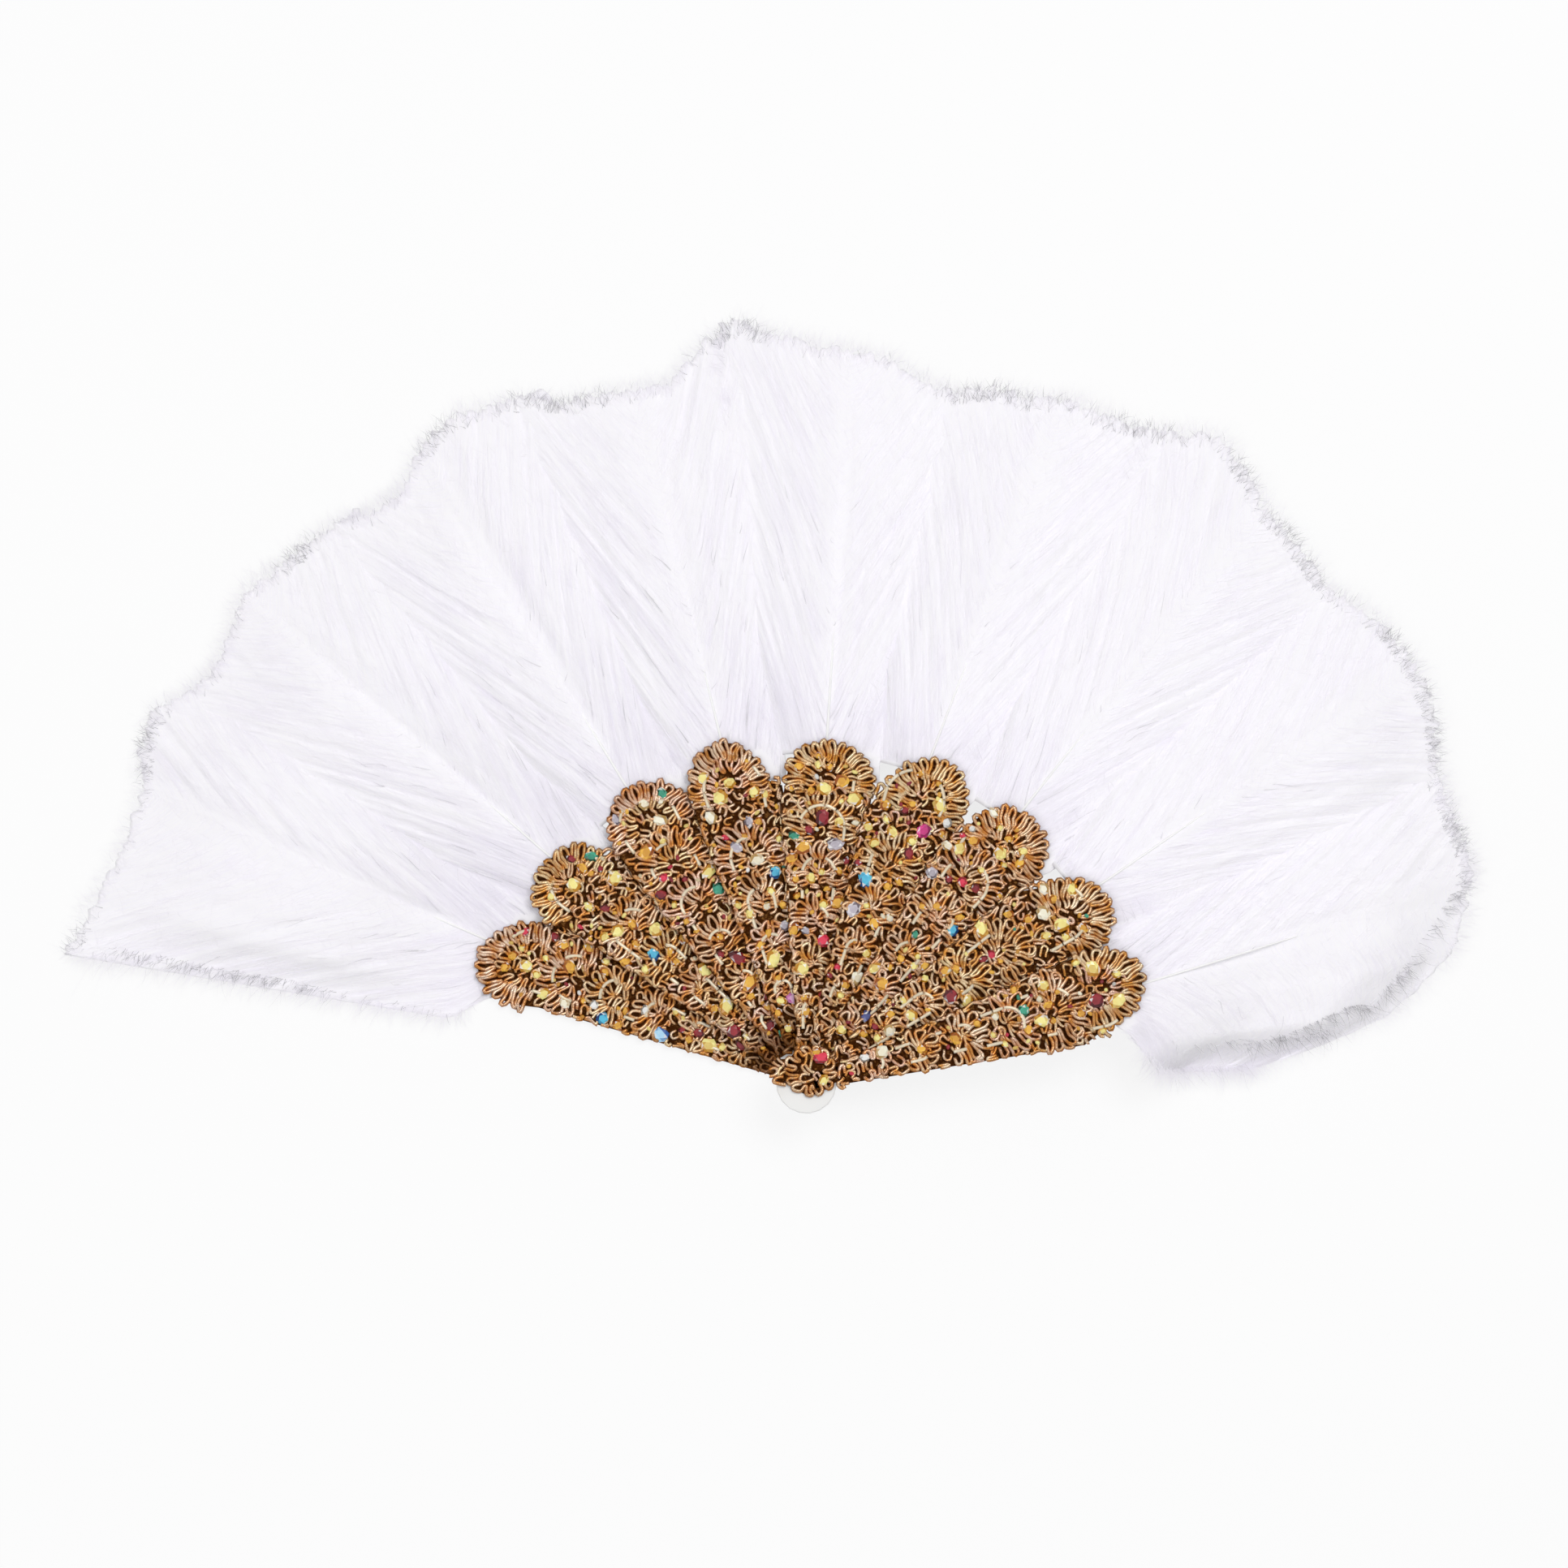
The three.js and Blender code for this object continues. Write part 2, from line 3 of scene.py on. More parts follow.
import bpy
import numpy as np
from bpy.props import FloatProperty, FloatVectorProperty, IntProperty, PointerProperty
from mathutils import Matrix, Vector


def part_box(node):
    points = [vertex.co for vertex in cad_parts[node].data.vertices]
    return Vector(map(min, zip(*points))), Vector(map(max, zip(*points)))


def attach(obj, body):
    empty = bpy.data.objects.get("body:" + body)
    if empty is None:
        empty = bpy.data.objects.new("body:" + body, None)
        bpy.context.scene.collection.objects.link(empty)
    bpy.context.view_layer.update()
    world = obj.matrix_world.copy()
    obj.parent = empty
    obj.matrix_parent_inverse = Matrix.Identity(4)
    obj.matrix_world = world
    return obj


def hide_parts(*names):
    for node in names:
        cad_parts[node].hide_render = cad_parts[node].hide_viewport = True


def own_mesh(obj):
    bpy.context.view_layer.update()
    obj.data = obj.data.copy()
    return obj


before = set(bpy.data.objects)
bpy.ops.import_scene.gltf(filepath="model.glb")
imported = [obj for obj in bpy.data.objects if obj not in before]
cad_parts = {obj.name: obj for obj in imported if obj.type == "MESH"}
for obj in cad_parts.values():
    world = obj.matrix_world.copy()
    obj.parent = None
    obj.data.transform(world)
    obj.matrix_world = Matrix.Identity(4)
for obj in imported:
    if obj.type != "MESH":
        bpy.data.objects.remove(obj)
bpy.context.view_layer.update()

bl_info = {
    "name": "Feather Fan",
    "version": (1, 0, 0),
    "blender": (4, 5, 0),
    "location": "View3D > Sidebar > Feather Fan",
    "description": "Dresses a folding feather fan: marabou plumes, bullion beadwork, sticks and ribbon",
    "category": "Object",
}


def mm(length):
    """Millimetres in metres."""
    return length * 0.001


# The fan's own sizes, as the solids have them

STICKS = 9
LAST = STICKS - 1
PITCH = math.radians(17.5)
SEAT_GAP = mm(0.3)
BLADE_SHOULDER = mm(102)
BLADE_ROOT_HALF, BLADE_TIP_HALF = mm(3), mm(9.5)
PANEL_START, PANEL_START_HALF = mm(12), mm(3.9)
PANEL_THICK = mm(1.8)
LOBE_TIP, LOBE_RADIUS = mm(122), mm(17)
LOBE_CENTRE = LOBE_TIP - LOBE_RADIUS
LOBE_EDGE = mm(16.25)
SHELL_TIP, SHELL_STEP, SHELL_STAGGER, SHELL_LAST = mm(103), mm(18), mm(9), mm(21)
SHELL_WIDTH_SHARE = 0.92
COVER_RADIUS, COVER_CENTRE = mm(9.3), (mm(-3.9), mm(2.7))
COVER_EAR_RADIUS, COVER_EAR = mm(5), (mm(-6.6), mm(-6.4))
QUILL_BUTT = mm(92.4)
QUILL_SHORT_OF_TIP = mm(32)
DROOP_START, DROOP_END = mm(124), mm(215)
DROOP_HEIGHT, DROOP_SHARE = mm(8), 0.7
PLUME_ROOT = mm(114)
RIBBON_INNER, RIBBON_WIDTH = mm(79), mm(6)
RIBBON_THICK, RIBBON_LIFT = mm(0.3), mm(0.1)
RIBBON_EDGE_GAP, RIBBON_RISE_RUN, RIBBON_LAP = mm(0.7), mm(1.7), mm(2.2)

# The lobes' own forms: how full the shoulders and the tip are, degrees that the tip leans, and millimetres
# that the lobe sits to the right
LOBE_FORMS = (
    (0.93, 1.14, -20, -2.5), (0.96, 0.86, 0, -2.5), (0.96, 0.88, 18, 1.0),
    (0.87, 1.05, 0, -1.5), (0.97, 0.82, 14, 2.0), (0.89, 1.02, 20, 3.5),
    (0.93, 0.96, 6, 3.5), (0.91, 1.08, 16, 3.5), (0.86, 1.06, -8, -2.5),
)
PLAIN_FORM = (1.0, 1.0, 0.0, 0.0)

# How far in millimetres each plume reaches from the rivet, from its left edge to its right edge
PLUME_OUTLINE = (
    (268, 262, 257, 258, 265, 267, 259),
    (259, 256, 260, 265, 262, 262, 259),
    (259, 254, 254, 263, 268, 265, 264),
    (264, 256, 255, 253, 252, 264, 271),
    (271, 265, 261, 260, 258, 252, 250),
    (250, 255, 255, 259, 259, 261, 265),
    (265, 272, 268, 261, 260, 257, 255),
    (255, 260, 262, 262, 260, 255, 249),
    (249, 248, 249, 247, 235, 207, 156),
)
# The two outer plumes spread wider, and reach that width between these shares of their length
LEFT_SPREAD, RIGHT_SPREAD = math.radians(14), math.radians(15.5)
LEFT_WIDENS, RIGHT_WIDENS = (-0.02, 0.1), (-0.05, 0.25)
# How far a plume runs on past its edges, as a share of its half width
LAP = 1.17
# How far inwards the down runs under the next panel, as a share of the plume's length
UNDER_NEXT = 0.055
# Heights of a plume's soft body, at its root, crown and rim; the last two rise with the stick's own level
ROOT_SINK = mm(0.8)
CROWN_HEIGHT, CROWN_CLIMB = mm(12), 0.3
RIM_HEIGHT, RIM_CLIMB = mm(2.6), 0.15
# How far the body sinks where it laps the plume on its left, near the root and further out, and on its right
LAP_NEAR_ROOT, LAP_FURTHER_OUT, LAP_RIGHT = mm(3.5), mm(1.1), mm(1.4)
SIDE_DIP = mm(0.5)
VALLEY_WIDTH, BARE_QUILL_WIDTH = mm(6.5), mm(3)
FREE_EDGE_THICK = mm(1.2)
# The body's underside: how far it hangs below the stick at its root, its height, and how far its rim rises
ROOT_HANG, UNDERSIDE, RIM_RISE = mm(2), mm(0.6), mm(1.6)
# Depth in millimetres of the soft valley along each quill
QUILL_VALLEY = (1.5, 3.0, 3.4, 2.2, 3.0, 1.0, 0.6, 0.6, 1.0)
# Share of each plume's barbs that lie parted from the rest, in shade
PARTED = (0.05, 0.05, 0.055, 0.05, 0.045, 0.025, 0.02, 0.02, 0.03)
# How far outwards a barb runs, as a share of the plume's length, by the time it reaches the plume's edge
BARB_RUN, BARB_BEND = 0.5, 1.35
# A plume's usual length and half width in millimetres, by which furrows and fibres are spaced
PLUME_LONG, PLUME_HALF = 145, 38
# Furrows that run outwards, and furrows that follow the barbs: widths in millimetres, and depth as a share
FURROWS_OUT, FURROWS_OUT_DEPTH = (5.1, 7.9, 12.0), 0.010
FURROWS_BARB, FURROWS_BARB_DEPTH = (5.3, 8.2, 13.0, 21.0), 0.012
# For random draws: the most a phase can be, and where the seeds of the pieces start
ANY_PHASE = 6.3
GROOVE_SEED, BEADWORK_SEED, PLUME_SEED = 900, 410, 70


def smooth(x, low, high):
    """Nothing below low, one above high, and a soft step between."""
    t = np.clip((np.asarray(x, float) - low) / (high - low), 0, 1)
    return t * t * (3 - 2 * t)


def between(a, b, share):
    return a + (b - a) * share


def unit(vectors):
    size = np.linalg.norm(vectors, axis=-1, keepdims=True)
    return vectors / np.maximum(size, 1e-12)


def bearing(angle):
    """Unit vectors in plan at angles from +X."""
    return np.stack([np.cos(angle), np.sin(angle)], -1)


def spun(flat, turn):
    """Points in plan, turned about the origin."""
    c, s = math.cos(turn), math.sin(turn)
    return flat @ np.array([[c, s], [-s, c]])


def run_along(path):
    """How far along a path each of its points lies."""
    return np.concatenate([[0], np.cumsum(np.linalg.norm(np.diff(path, axis=0), axis=1))])


def along_line(where, run, line):
    """Points in plan at distances along a line, whose own points lie at run."""
    return np.stack([np.interp(where, run, line[:, i]) for i in (0, 1)], -1)


def panel_half(y):
    """Half the width of a panel between its root and its lobe."""
    share = (y - PANEL_START) / (LOBE_CENTRE - PANEL_START)
    return between(PANEL_START_HALF, LOBE_EDGE, share)


class Leaf:
    """One stick of the fan with what it carries. Points are worked out with the stick along +Y."""

    def __init__(self, index):
        self.index = index
        self.number = index + 1
        self.last = index == LAST
        self.body = f"leaf_{self.number}"
        self.stick = {0: "back_guard", LAST: "front_guard"}.get(index, f"stick_{self.number}")
        self.panel = f"bead_panel_{self.number}"
        self.lobe = LOBE_FORMS[index]
        self.turn = (LAST / 2 - index) * PITCH
        self.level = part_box(self.stick)[0].z
        self.panel_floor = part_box(self.panel)[0].z
        self.blade = self.panel_floor - self.level
        self.middle = self.level + self.blade / 2
        self.free_side = {0: 1.0, LAST: -1.0}.get(index, 0.0)
        self.left_most = 1.0 if index == 0 else LAP
        self.right_most = -1.0 if self.last else -LAP

    def place(self, points):
        """Points turned from +Y to where the stick lies in the open fan."""
        c, s = math.cos(self.turn), math.sin(self.turn)
        turned = np.array(points, float)
        turned[..., 0] = points[..., 0] * c - points[..., 1] * s
        turned[..., 1] = points[..., 0] * s + points[..., 1] * c
        return turned

    def quill_height(self, y):
        droop = (DROOP_HEIGHT - self.middle) * DROOP_SHARE
        return self.middle + droop * smooth(y, DROOP_START, DROOP_END)

    def plume_reach(self, t):
        """How far from the rivet the plume reaches; t is 1 at its left edge and -1 at its right edge."""
        outline = PLUME_OUTLINE[self.index]
        stops = np.linspace(1, -1, len(outline))
        return mm(np.interp(-np.asarray(t), -stops, outline))

    def plume_turn(self, share, t):
        """Angle between the quill and a point of the plume, to the left."""
        left = LEFT_SPREAD if self.index == 0 else PITCH / 2
        right = RIGHT_SPREAD if self.last else PITCH / 2
        wide = np.where(np.asarray(t) > 0, left, right)
        start, end = LEFT_WIDENS if self.index == 0 else RIGHT_WIDENS
        return t * between(PITCH / 2, wide, smooth(share, start, end))

    def plume_top(self, share, t):
        """Height of the plume's soft body. Past its edges it laps over the plume on its left, which lies
        lower, and runs on under the one on its right. Near the root it sinks to the bare quill."""
        root = self.level + self.blade - ROOT_SINK
        crown = (CROWN_HEIGHT + CROWN_CLIMB * self.level) * (1 - 0.2 * np.minimum(t * t, 1))
        rim = RIM_HEIGHT + RIM_CLIMB * self.level
        outer = smooth(share, 0.07, 0.45)
        top = between(between(root, crown, outer), rim, smooth(share, 0.66, 1.0))
        near_root = 1 - smooth(share, 0.03, 0.25)
        over = smooth(t, between(0.98, 0.6, near_root), between(LAP, 1.0, near_root)) if self.index else 0.0
        lap = between(LAP_NEAR_ROOT, LAP_FURTHER_OUT, outer) * over + LAP_RIGHT * smooth(-t, 0.98, LAP)
        y = PLUME_ROOT + (self.plume_reach(0.0) - PLUME_ROOT) * share
        aside = t * y * math.tan(PITCH / 2)
        valley = mm(QUILL_VALLEY[self.index]) * np.exp(-((aside / VALLEY_WIDTH) ** 2))
        dip = valley * (1 - smooth(share, 0.6, 0.95))
        top = top - dip * outer - SIDE_DIP * smooth(np.abs(t), 0.7, 1.0) * outer - lap
        bare = np.exp(-((aside / BARE_QUILL_WIDTH) ** 2)) * (1 - smooth(share, 0.12, 0.42))
        top = between(top, np.minimum(top, self.quill_height(y) - mm(0.1)), bare)
        thin = self.plume_bottom(share, t) + FREE_EDGE_THICK
        return between(top, thin, 0.9 * self.free_edge(t) * smooth(share, 0.02, 0.2))

    def plume_bottom(self, share, t):
        root = max(0.0, self.level - ROOT_HANG)
        rise = RIM_RISE * np.maximum(smooth(share, 0.8, 1.0), smooth(np.abs(t), 0.75, 1.0))
        return root * (1 - smooth(share, 0.07, 0.4)) + UNDERSIDE + rise * smooth(share, 0.2, 0.5)

    def free_edge(self, t):
        """One along the fan's own two outer edges, where no plume follows; nothing further in."""
        return smooth(self.free_side * t, 0.62, 1.0)

    def right_side(self, t):
        """One on the right of the quill, where the next stick lies above; nothing on the left."""
        right = 1 - smooth(t, -0.25, 0.2)
        return right * smooth(t, -1.0, -0.7) if self.last else right

    def beside_stick(self, share, t):
        """One where the down lies flat beside its stick, fading to nothing further out."""
        return (1 - smooth(share, 0.0, 0.06)) * self.right_side(t)

    def plume_point(self, share, t):
        """Place in plan of a point of the plume, from its share of the way out and its place across."""
        radius = PLUME_ROOT + (self.plume_reach(np.clip(t, -1, 1)) - PLUME_ROOT) * share
        turn = self.plume_turn(share, t)
        return -radius * np.sin(turn), radius * np.cos(turn)

    def barb_start(self, share, t):
        """Where on the quill the barb through a point grows from, as a share of the plume's length."""
        return share - BARB_RUN * np.abs(t) ** BARB_BEND

    def barb_side(self, share, start):
        """How far aside, as a share of the half width, a barb is by the time it is so far out."""
        return (np.maximum(share - start, 0) / BARB_RUN) ** (1 / BARB_BEND)

    def grooves(self, share, t):
        """Soft furrows between the locks of barbs: some run outwards, most follow the barbs."""
        rng = np.random.default_rng(GROOVE_SEED + self.index)
        across, out = t * PLUME_HALF, share * PLUME_LONG
        height = 0.0
        for wide in FURROWS_OUT:
            wander = np.sin(out / rng.uniform(16, 34) + rng.uniform(0, ANY_PHASE)) * rng.uniform(0.6, 1.6)
            phase = math.tau * across / wide + wander + rng.uniform(0, ANY_PHASE)
            height = height + FURROWS_OUT_DEPTH * wide * np.sin(phase)
        along = self.barb_start(share, t) * PLUME_LONG
        apart = smooth(np.abs(t), 0.04, 0.3)
        left = np.where(t > 0, 1.9, 0.0)
        for wide in FURROWS_BARB:
            wander = np.sin(across / rng.uniform(7, 15) + rng.uniform(0, ANY_PHASE)) * rng.uniform(0.5, 1.5)
            phase = math.tau * along / wide + wander + rng.uniform(0, ANY_PHASE) + left
            height = height + FURROWS_BARB_DEPTH * wide * apart * np.sin(phase)
        return mm(height)


LEAVES = [Leaf(i) for i in range(STICKS)]


class Shape:
    """Points and faces of one piece, gathered before its mesh is made."""

    def __init__(self):
        self.points, self.faces, self.uv, self.tint, self.flat = [], [], [], [], []
        self.count = 0

    def add(self, points, faces, uv=None, tint=(1, 1, 1), flat=False):
        """faces is one array of corners per face; uv and tint are per corner, or one value for all."""
        self.points.append(points.reshape(-1, 3))
        self.count += len(self.points[-1])
        self.cover(faces, uv, tint, flat)

    def cover(self, faces, uv=None, tint=(1, 1, 1), flat=False):
        """Adds faces over the points that were added last."""
        self.faces.append(faces + self.count - len(self.points[-1]))
        self.uv.append(np.zeros((faces.size, 2)) if uv is None else uv.reshape(-1, 2))
        self.tint.append(np.broadcast_to(tint, (faces.size, 3)))
        self.flat.append(np.full(len(faces), flat))

    def build(self, name, leaf, finish, slot):
        """Makes the mesh, turns it to its stick, and lets it ride on its leaf."""
        name = f"{name}_{leaf.number}"
        points = leaf.place(np.concatenate(self.points))
        corners = np.concatenate([f.ravel() for f in self.faces])
        sizes = np.concatenate([np.full(len(f), f.shape[1]) for f in self.faces])
        mesh = bpy.data.meshes.new(name)
        mesh.vertices.add(len(points))
        mesh.vertices.foreach_set("co", points.astype(np.float32).ravel())
        mesh.loops.add(len(corners))
        mesh.loops.foreach_set("vertex_index", corners.astype(np.int32))
        mesh.polygons.add(len(sizes))
        mesh.polygons.foreach_set("loop_start", (np.cumsum(sizes) - sizes).astype(np.int32))
        mesh.polygons.foreach_set("use_smooth", ~np.concatenate(self.flat))
        lay = mesh.uv_layers.new(name="lay")
        lay.data.foreach_set("uv", np.concatenate(self.uv).astype(np.float32).ravel())
        tint = np.ones((len(corners), 4), np.float32)
        tint[:, :3] = np.concatenate(self.tint)
        layer = mesh.color_attributes.new("tint", "FLOAT_COLOR", "CORNER")
        layer.data.foreach_set("color", tint.ravel())
        mesh.update(calc_edges=True)
        mesh.materials.append(finish)
        piece = bpy.data.objects.new(name, mesh)
        bpy.context.scene.collection.objects.link(piece)
        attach(piece, leaf.body)
        return piece


def tube(shape, path, radius, sides, tint=(1, 1, 1), squat=1.0):
    """A wire along a path, closed at both ends. UV runs along it in millimetres and once round it."""
    count = len(path)
    radius = np.broadcast_to(np.asarray(radius, float), (count,))
    forward = unit(np.gradient(path, axis=0))
    side = unit(np.cross(forward, (0, 0, 1)))
    lift = np.cross(side, forward) * squat
    angle = math.tau * np.arange(sides) / sides
    ring = np.cos(angle)[None, :, None] * side[:, None] + np.sin(angle)[None, :, None] * lift[:, None]
    points = path[:, None] + radius[:, None, None] * ring
    run = run_along(path) * 1000
    i, j = np.meshgrid(np.arange(count - 1), np.arange(sides), indexing="ij")
    nxt = (j + 1) % sides
    faces = np.stack([i * sides + j, (i + 1) * sides + j, (i + 1) * sides + nxt, i * sides + nxt], -1)
    u = np.stack([run[i], run[i + 1], run[i + 1], run[i]], -1)
    v = np.stack([j, j, j + 1, j + 1], -1) / sides
    if np.ndim(tint) == 2:
        tint = np.stack([tint[i], tint[i + 1], tint[i + 1], tint[i]], -2).reshape(-1, 3)
    shape.add(points, faces.reshape(-1, 4), np.stack([u, v], -1), tint)
    ends = np.array([np.arange(sides)[::-1], (count - 1) * sides + np.arange(sides)])
    shape.cover(ends, tint=np.atleast_2d(tint)[-1])


def closed_sheet(low, high, lay):
    """A closed skin from a lower and an upper sheet, each rows by columns of points, with one lay."""
    rows, columns = low.shape[:2]
    i, j = (a.ravel() for a in np.meshgrid(np.arange(rows - 1), np.arange(columns - 1), indexing="ij"))
    here, further = i * columns + j, (i + 1) * columns + j
    cell = np.stack([here, here + 1, further + 1, further], -1)
    rim = np.concatenate([
        np.arange(columns),
        np.arange(1, rows) * columns + columns - 1,
        (rows - 1) * columns + np.arange(columns - 2, -1, -1),
        np.arange(rows - 2, 0, -1) * columns,
    ])
    after, under = np.roll(rim, -1), rows * columns
    sides = np.stack([rim, after, after + under, rim + under], -1)
    faces = np.concatenate([cell[:, ::-1], cell + under, sides])
    lay = np.concatenate([lay.reshape(-1, 2)] * 2)
    shape = Shape()
    shape.add(np.concatenate([low.reshape(-1, 3), high.reshape(-1, 3)]), faces, lay[faces])
    return shape


# Materials

# Width in millimetres of one turn of the bullion's coil, and of one ring turned into the rivet
COIL_TURN, RIVET_RING = 0.42, 0.22
# Threads across the ribbon, and millimetres along it from one thread to the next
WARP_THREADS, WEFT_STEP = 26, 0.4


class Wire:
    """A socket in a material. Sums and products of wires add Math nodes."""

    def __init__(self, recipe, socket):
        self.recipe, self.socket = recipe, socket

    def maths(self, operation, first, second):
        return self.recipe.node("ShaderNodeMath", {"operation": operation}, {0: first, 1: second})

    def __add__(self, other):
        return self.maths("ADD", self, other)

    def __sub__(self, other):
        return self.maths("SUBTRACT", self, other)

    def __rsub__(self, other):
        return self.maths("SUBTRACT", other, self)

    def __mul__(self, other):
        return self.maths("MULTIPLY", self, other)

    __radd__, __rmul__ = __add__, __mul__


class Recipe:
    """The nodes of one material or of the world."""

    def __init__(self, owner):
        owner.use_nodes = True
        self.owner, self.tree = owner, owner.node_tree
        self.tree.nodes.clear()

    def node(self, kind, settings=None, inputs=None, out=0):
        """Adds a node with its settings and its inputs' values or links, and gives one of its outputs."""
        made = self.tree.nodes.new(kind)
        for key, value in (settings or {}).items():
            setattr(made, key, value)
        for key, value in (inputs or {}).items():
            if isinstance(value, Wire):
                self.tree.links.new(value.socket, made.inputs[key])
            else:
                made.inputs[key].default_value = value
        return Wire(self, made.outputs[out] if made.outputs else None)

    def mix(self, share, low, high, blend="MIX"):
        low, high = (c if isinstance(c, Wire) else (*c, 1) for c in (low, high))
        settings = {"data_type": "RGBA", "blend_type": blend}
        return self.node("ShaderNodeMix", settings, {0: share, 6: low, 7: high}, 2)

    def ramp(self, value, low, high):
        inputs = {"Value": value, "From Min": low, "From Max": high}
        return self.node("ShaderNodeMapRange", {"interpolation_type": "SMOOTHSTEP"}, inputs)

    def wave(self, value):
        return self.node("ShaderNodeMath", {"operation": "SINE"}, {0: value})

    def noise(self, where, scale, detail=3.0, roughness=0.5):
        inputs = {"Vector": where, "Scale": scale, "Detail": detail, "Roughness": roughness}
        return self.node("ShaderNodeTexNoise", None, inputs)

    def place(self):
        """Where a point lies on the fan, in metres."""
        return self.node("ShaderNodeTexCoord", out="Object")

    def from_rivet(self, where):
        return self.node("ShaderNodeVectorMath", {"operation": "LENGTH"}, {0: where}, "Value")

    def lay(self):
        """Where a point lies along its wire and round it."""
        laid = self.node("ShaderNodeUVMap", {"uv_map": "lay"})
        return [self.node("ShaderNodeSeparateXYZ", None, {0: laid}, axis) for axis in (0, 1)]

    def tint(self):
        return self.node("ShaderNodeVertexColor", {"layer_name": "tint"})

    def tinted(self, colour):
        return self.mix(1.0, colour, self.tint(), "MULTIPLY")

    def bump(self, height, strength, distance):
        inputs = {"Strength": strength, "Distance": distance, "Height": height}
        return self.node("ShaderNodeBump", None, inputs)

    def surface(self, **sockets):
        named = {key.replace("_", " "): value for key, value in sockets.items()}
        named = {k: (*v, 1) if isinstance(v, tuple) and len(v) == 3 else v for k, v in named.items()}
        return self.node("ShaderNodeBsdfPrincipled", None, named)

    def output(self, shader, kind="ShaderNodeOutputMaterial"):
        self.node(kind, None, {"Surface": shader})
        return self.owner


def finish(name):
    return Recipe(bpy.data.materials.new(name))


def bullion_finish(look):
    """Gold wire wound into a fine coil, its shading painted: lit turns, orange brown flanks and dark
    grooves.
    """
    r = finish("gold bullion")
    along, around = r.lay()
    ridge = r.wave((along + around * COIL_TURN) * (math.tau / COIL_TURN)) * 0.5 + 0.5
    worn = r.noise(r.place(), 260.0)
    # Painted shade: the wire darkens down its flanks and in the grooves between its turns, and is less
    # metallic there
    upper = r.ramp(r.wave(around * math.tau), -0.35, 0.85)
    gold = r.tinted(r.mix(r.ramp(worn, 0.32, 0.68), look.deep_gold, look.gold))
    shade = upper * (0.64 + 0.36 * ridge)
    painted_flank_shade = r.mix(r.ramp(shade, 0.06, 0.5), look.groove_shade, look.painted_flank_shade)
    return r.output(r.surface(
        Base_Color=r.mix(r.ramp(shade, 0.4, 1.05), painted_flank_shade, gold),
        Metallic=r.ramp(shade, 0.1, 0.55) * 0.95,
        Roughness=0.1 + worn * 0.16,
        Normal=r.bump(ridge, 0.55, mm(0.12)),
        Specular_Tint=(0.88, 0.46, 0.17),
        Specular_IOR_Level=0.12,
    ))


def cut_bead_finish(look):
    """Pale glass cut beads with a gold lining."""
    r = finish("pale cut beads")
    streak = r.noise(r.place(), 420.0, 2.0)
    return r.output(r.surface(
        Base_Color=r.tinted(r.mix(streak, look.cut_bead_low, look.cut_bead)),
        Metallic=0.15,
        Roughness=0.14 + streak * 0.12,
        Coat_Weight=0.5,
        Coat_Roughness=0.05,
    ))


def stone_finish():
    """Foil-backed glass: each facet carries its own painted light, shade and glints, under a clear gloss."""
    r = finish("foil-backed stones")
    cloud = r.noise(r.place(), 600.0, 2.0)
    return r.output(r.surface(
        Base_Color=r.mix(r.ramp(cloud, 0.35, 0.75) * 0.35, r.tint(), (1.0, 0.98, 0.94), "SOFT_LIGHT"),
        Roughness=0.06 + cloud * 0.05,
        Coat_Weight=0.7,
        Coat_Roughness=0.02,
    ))


def backing_finish(look):
    """Brown buckram under the beads: a plain weave with painted shade in its low points, and gold dust
    rubbed into it.
    """
    r = finish("brown buckram")
    where = r.place()
    weave = r.node("ShaderNodeTexVoronoi", {"distance": "CHEBYCHEV"}, {"Vector": where, "Scale": 1500.0})
    dust = r.ramp(r.noise(where, 800.0, 4.0, 0.7), 0.5, 0.72)
    # Painted shade: the weave takes the groove shade colour where its bump lies lowest
    return r.output(r.surface(
        Base_Color=r.mix(dust * 0.4, r.mix(weave, look.groove_shade, look.backing), look.deep_gold),
        Roughness=0.85 - dust * 0.35,
        Normal=r.bump(weave, 0.6, mm(0.15)),
        Specular_IOR_Level=0.04,
    ))


def barb_finish(look):
    """White marabou: light comes through the thin barbs, least of all through grey ones."""
    r = finish("white marabou")
    streak = r.noise(r.place(), 90.0, 2.0)
    body = r.surface(
        Base_Color=r.tinted(r.mix(streak, look.plume_shade, look.plume_white)),
        Roughness=0.75,
        Specular_IOR_Level=0.15,
    )
    glow = r.node("ShaderNodeBsdfTranslucent", None, {"Color": (*look.plume_white, 1)})
    lit = r.node("ShaderNodeSeparateColor", None, {0: r.tint()})
    return r.output(r.node("ShaderNodeMixShader", None, {0: lit * 0.2, 1: body, 2: glow}))


def down_finish(look):
    """The down under the barbs: fine fibres that run as the barbs do, paler on the ridges, with painted
    shade in the hollows.
    """
    r = finish("marabou down")
    across, out = r.lay()
    where = r.node("ShaderNodeCombineXYZ", None, {0: across * 1.3, 1: out * 0.09})
    fibre = r.noise(where, 1.0, 4.0, 0.6)
    # Painted shade: the colour follows the fibres' bump, duller in its hollows
    return r.output(r.surface(
        Base_Color=r.mix(r.ramp(fibre, 0.3, 0.62), look.plume_shade, look.plume_white),
        Roughness=0.9,
        Specular_IOR_Level=0.1,
        Normal=r.bump(fibre, 0.22, mm(0.35)),
    ))


def quill_finish(look):
    """Horn: milky at the butt, whiter and finer outwards, with lengthwise streaks."""
    r = finish("quill horn")
    along, around = r.lay()
    where = r.node("ShaderNodeCombineXYZ", None, {0: along * 0.02, 1: around * 9.0})
    streak = r.noise(where, 3.0, 4.0)
    horn = r.mix(r.ramp(along, 0.0, 60.0), look.quill_butt, look.quill_white)
    return r.output(r.surface(
        Base_Color=r.mix(streak * 0.3, horn, look.plume_shade),
        Roughness=0.32 + streak * 0.2,
        Coat_Weight=0.25,
        Normal=r.bump(streak, 0.25, mm(0.06)),
    ))


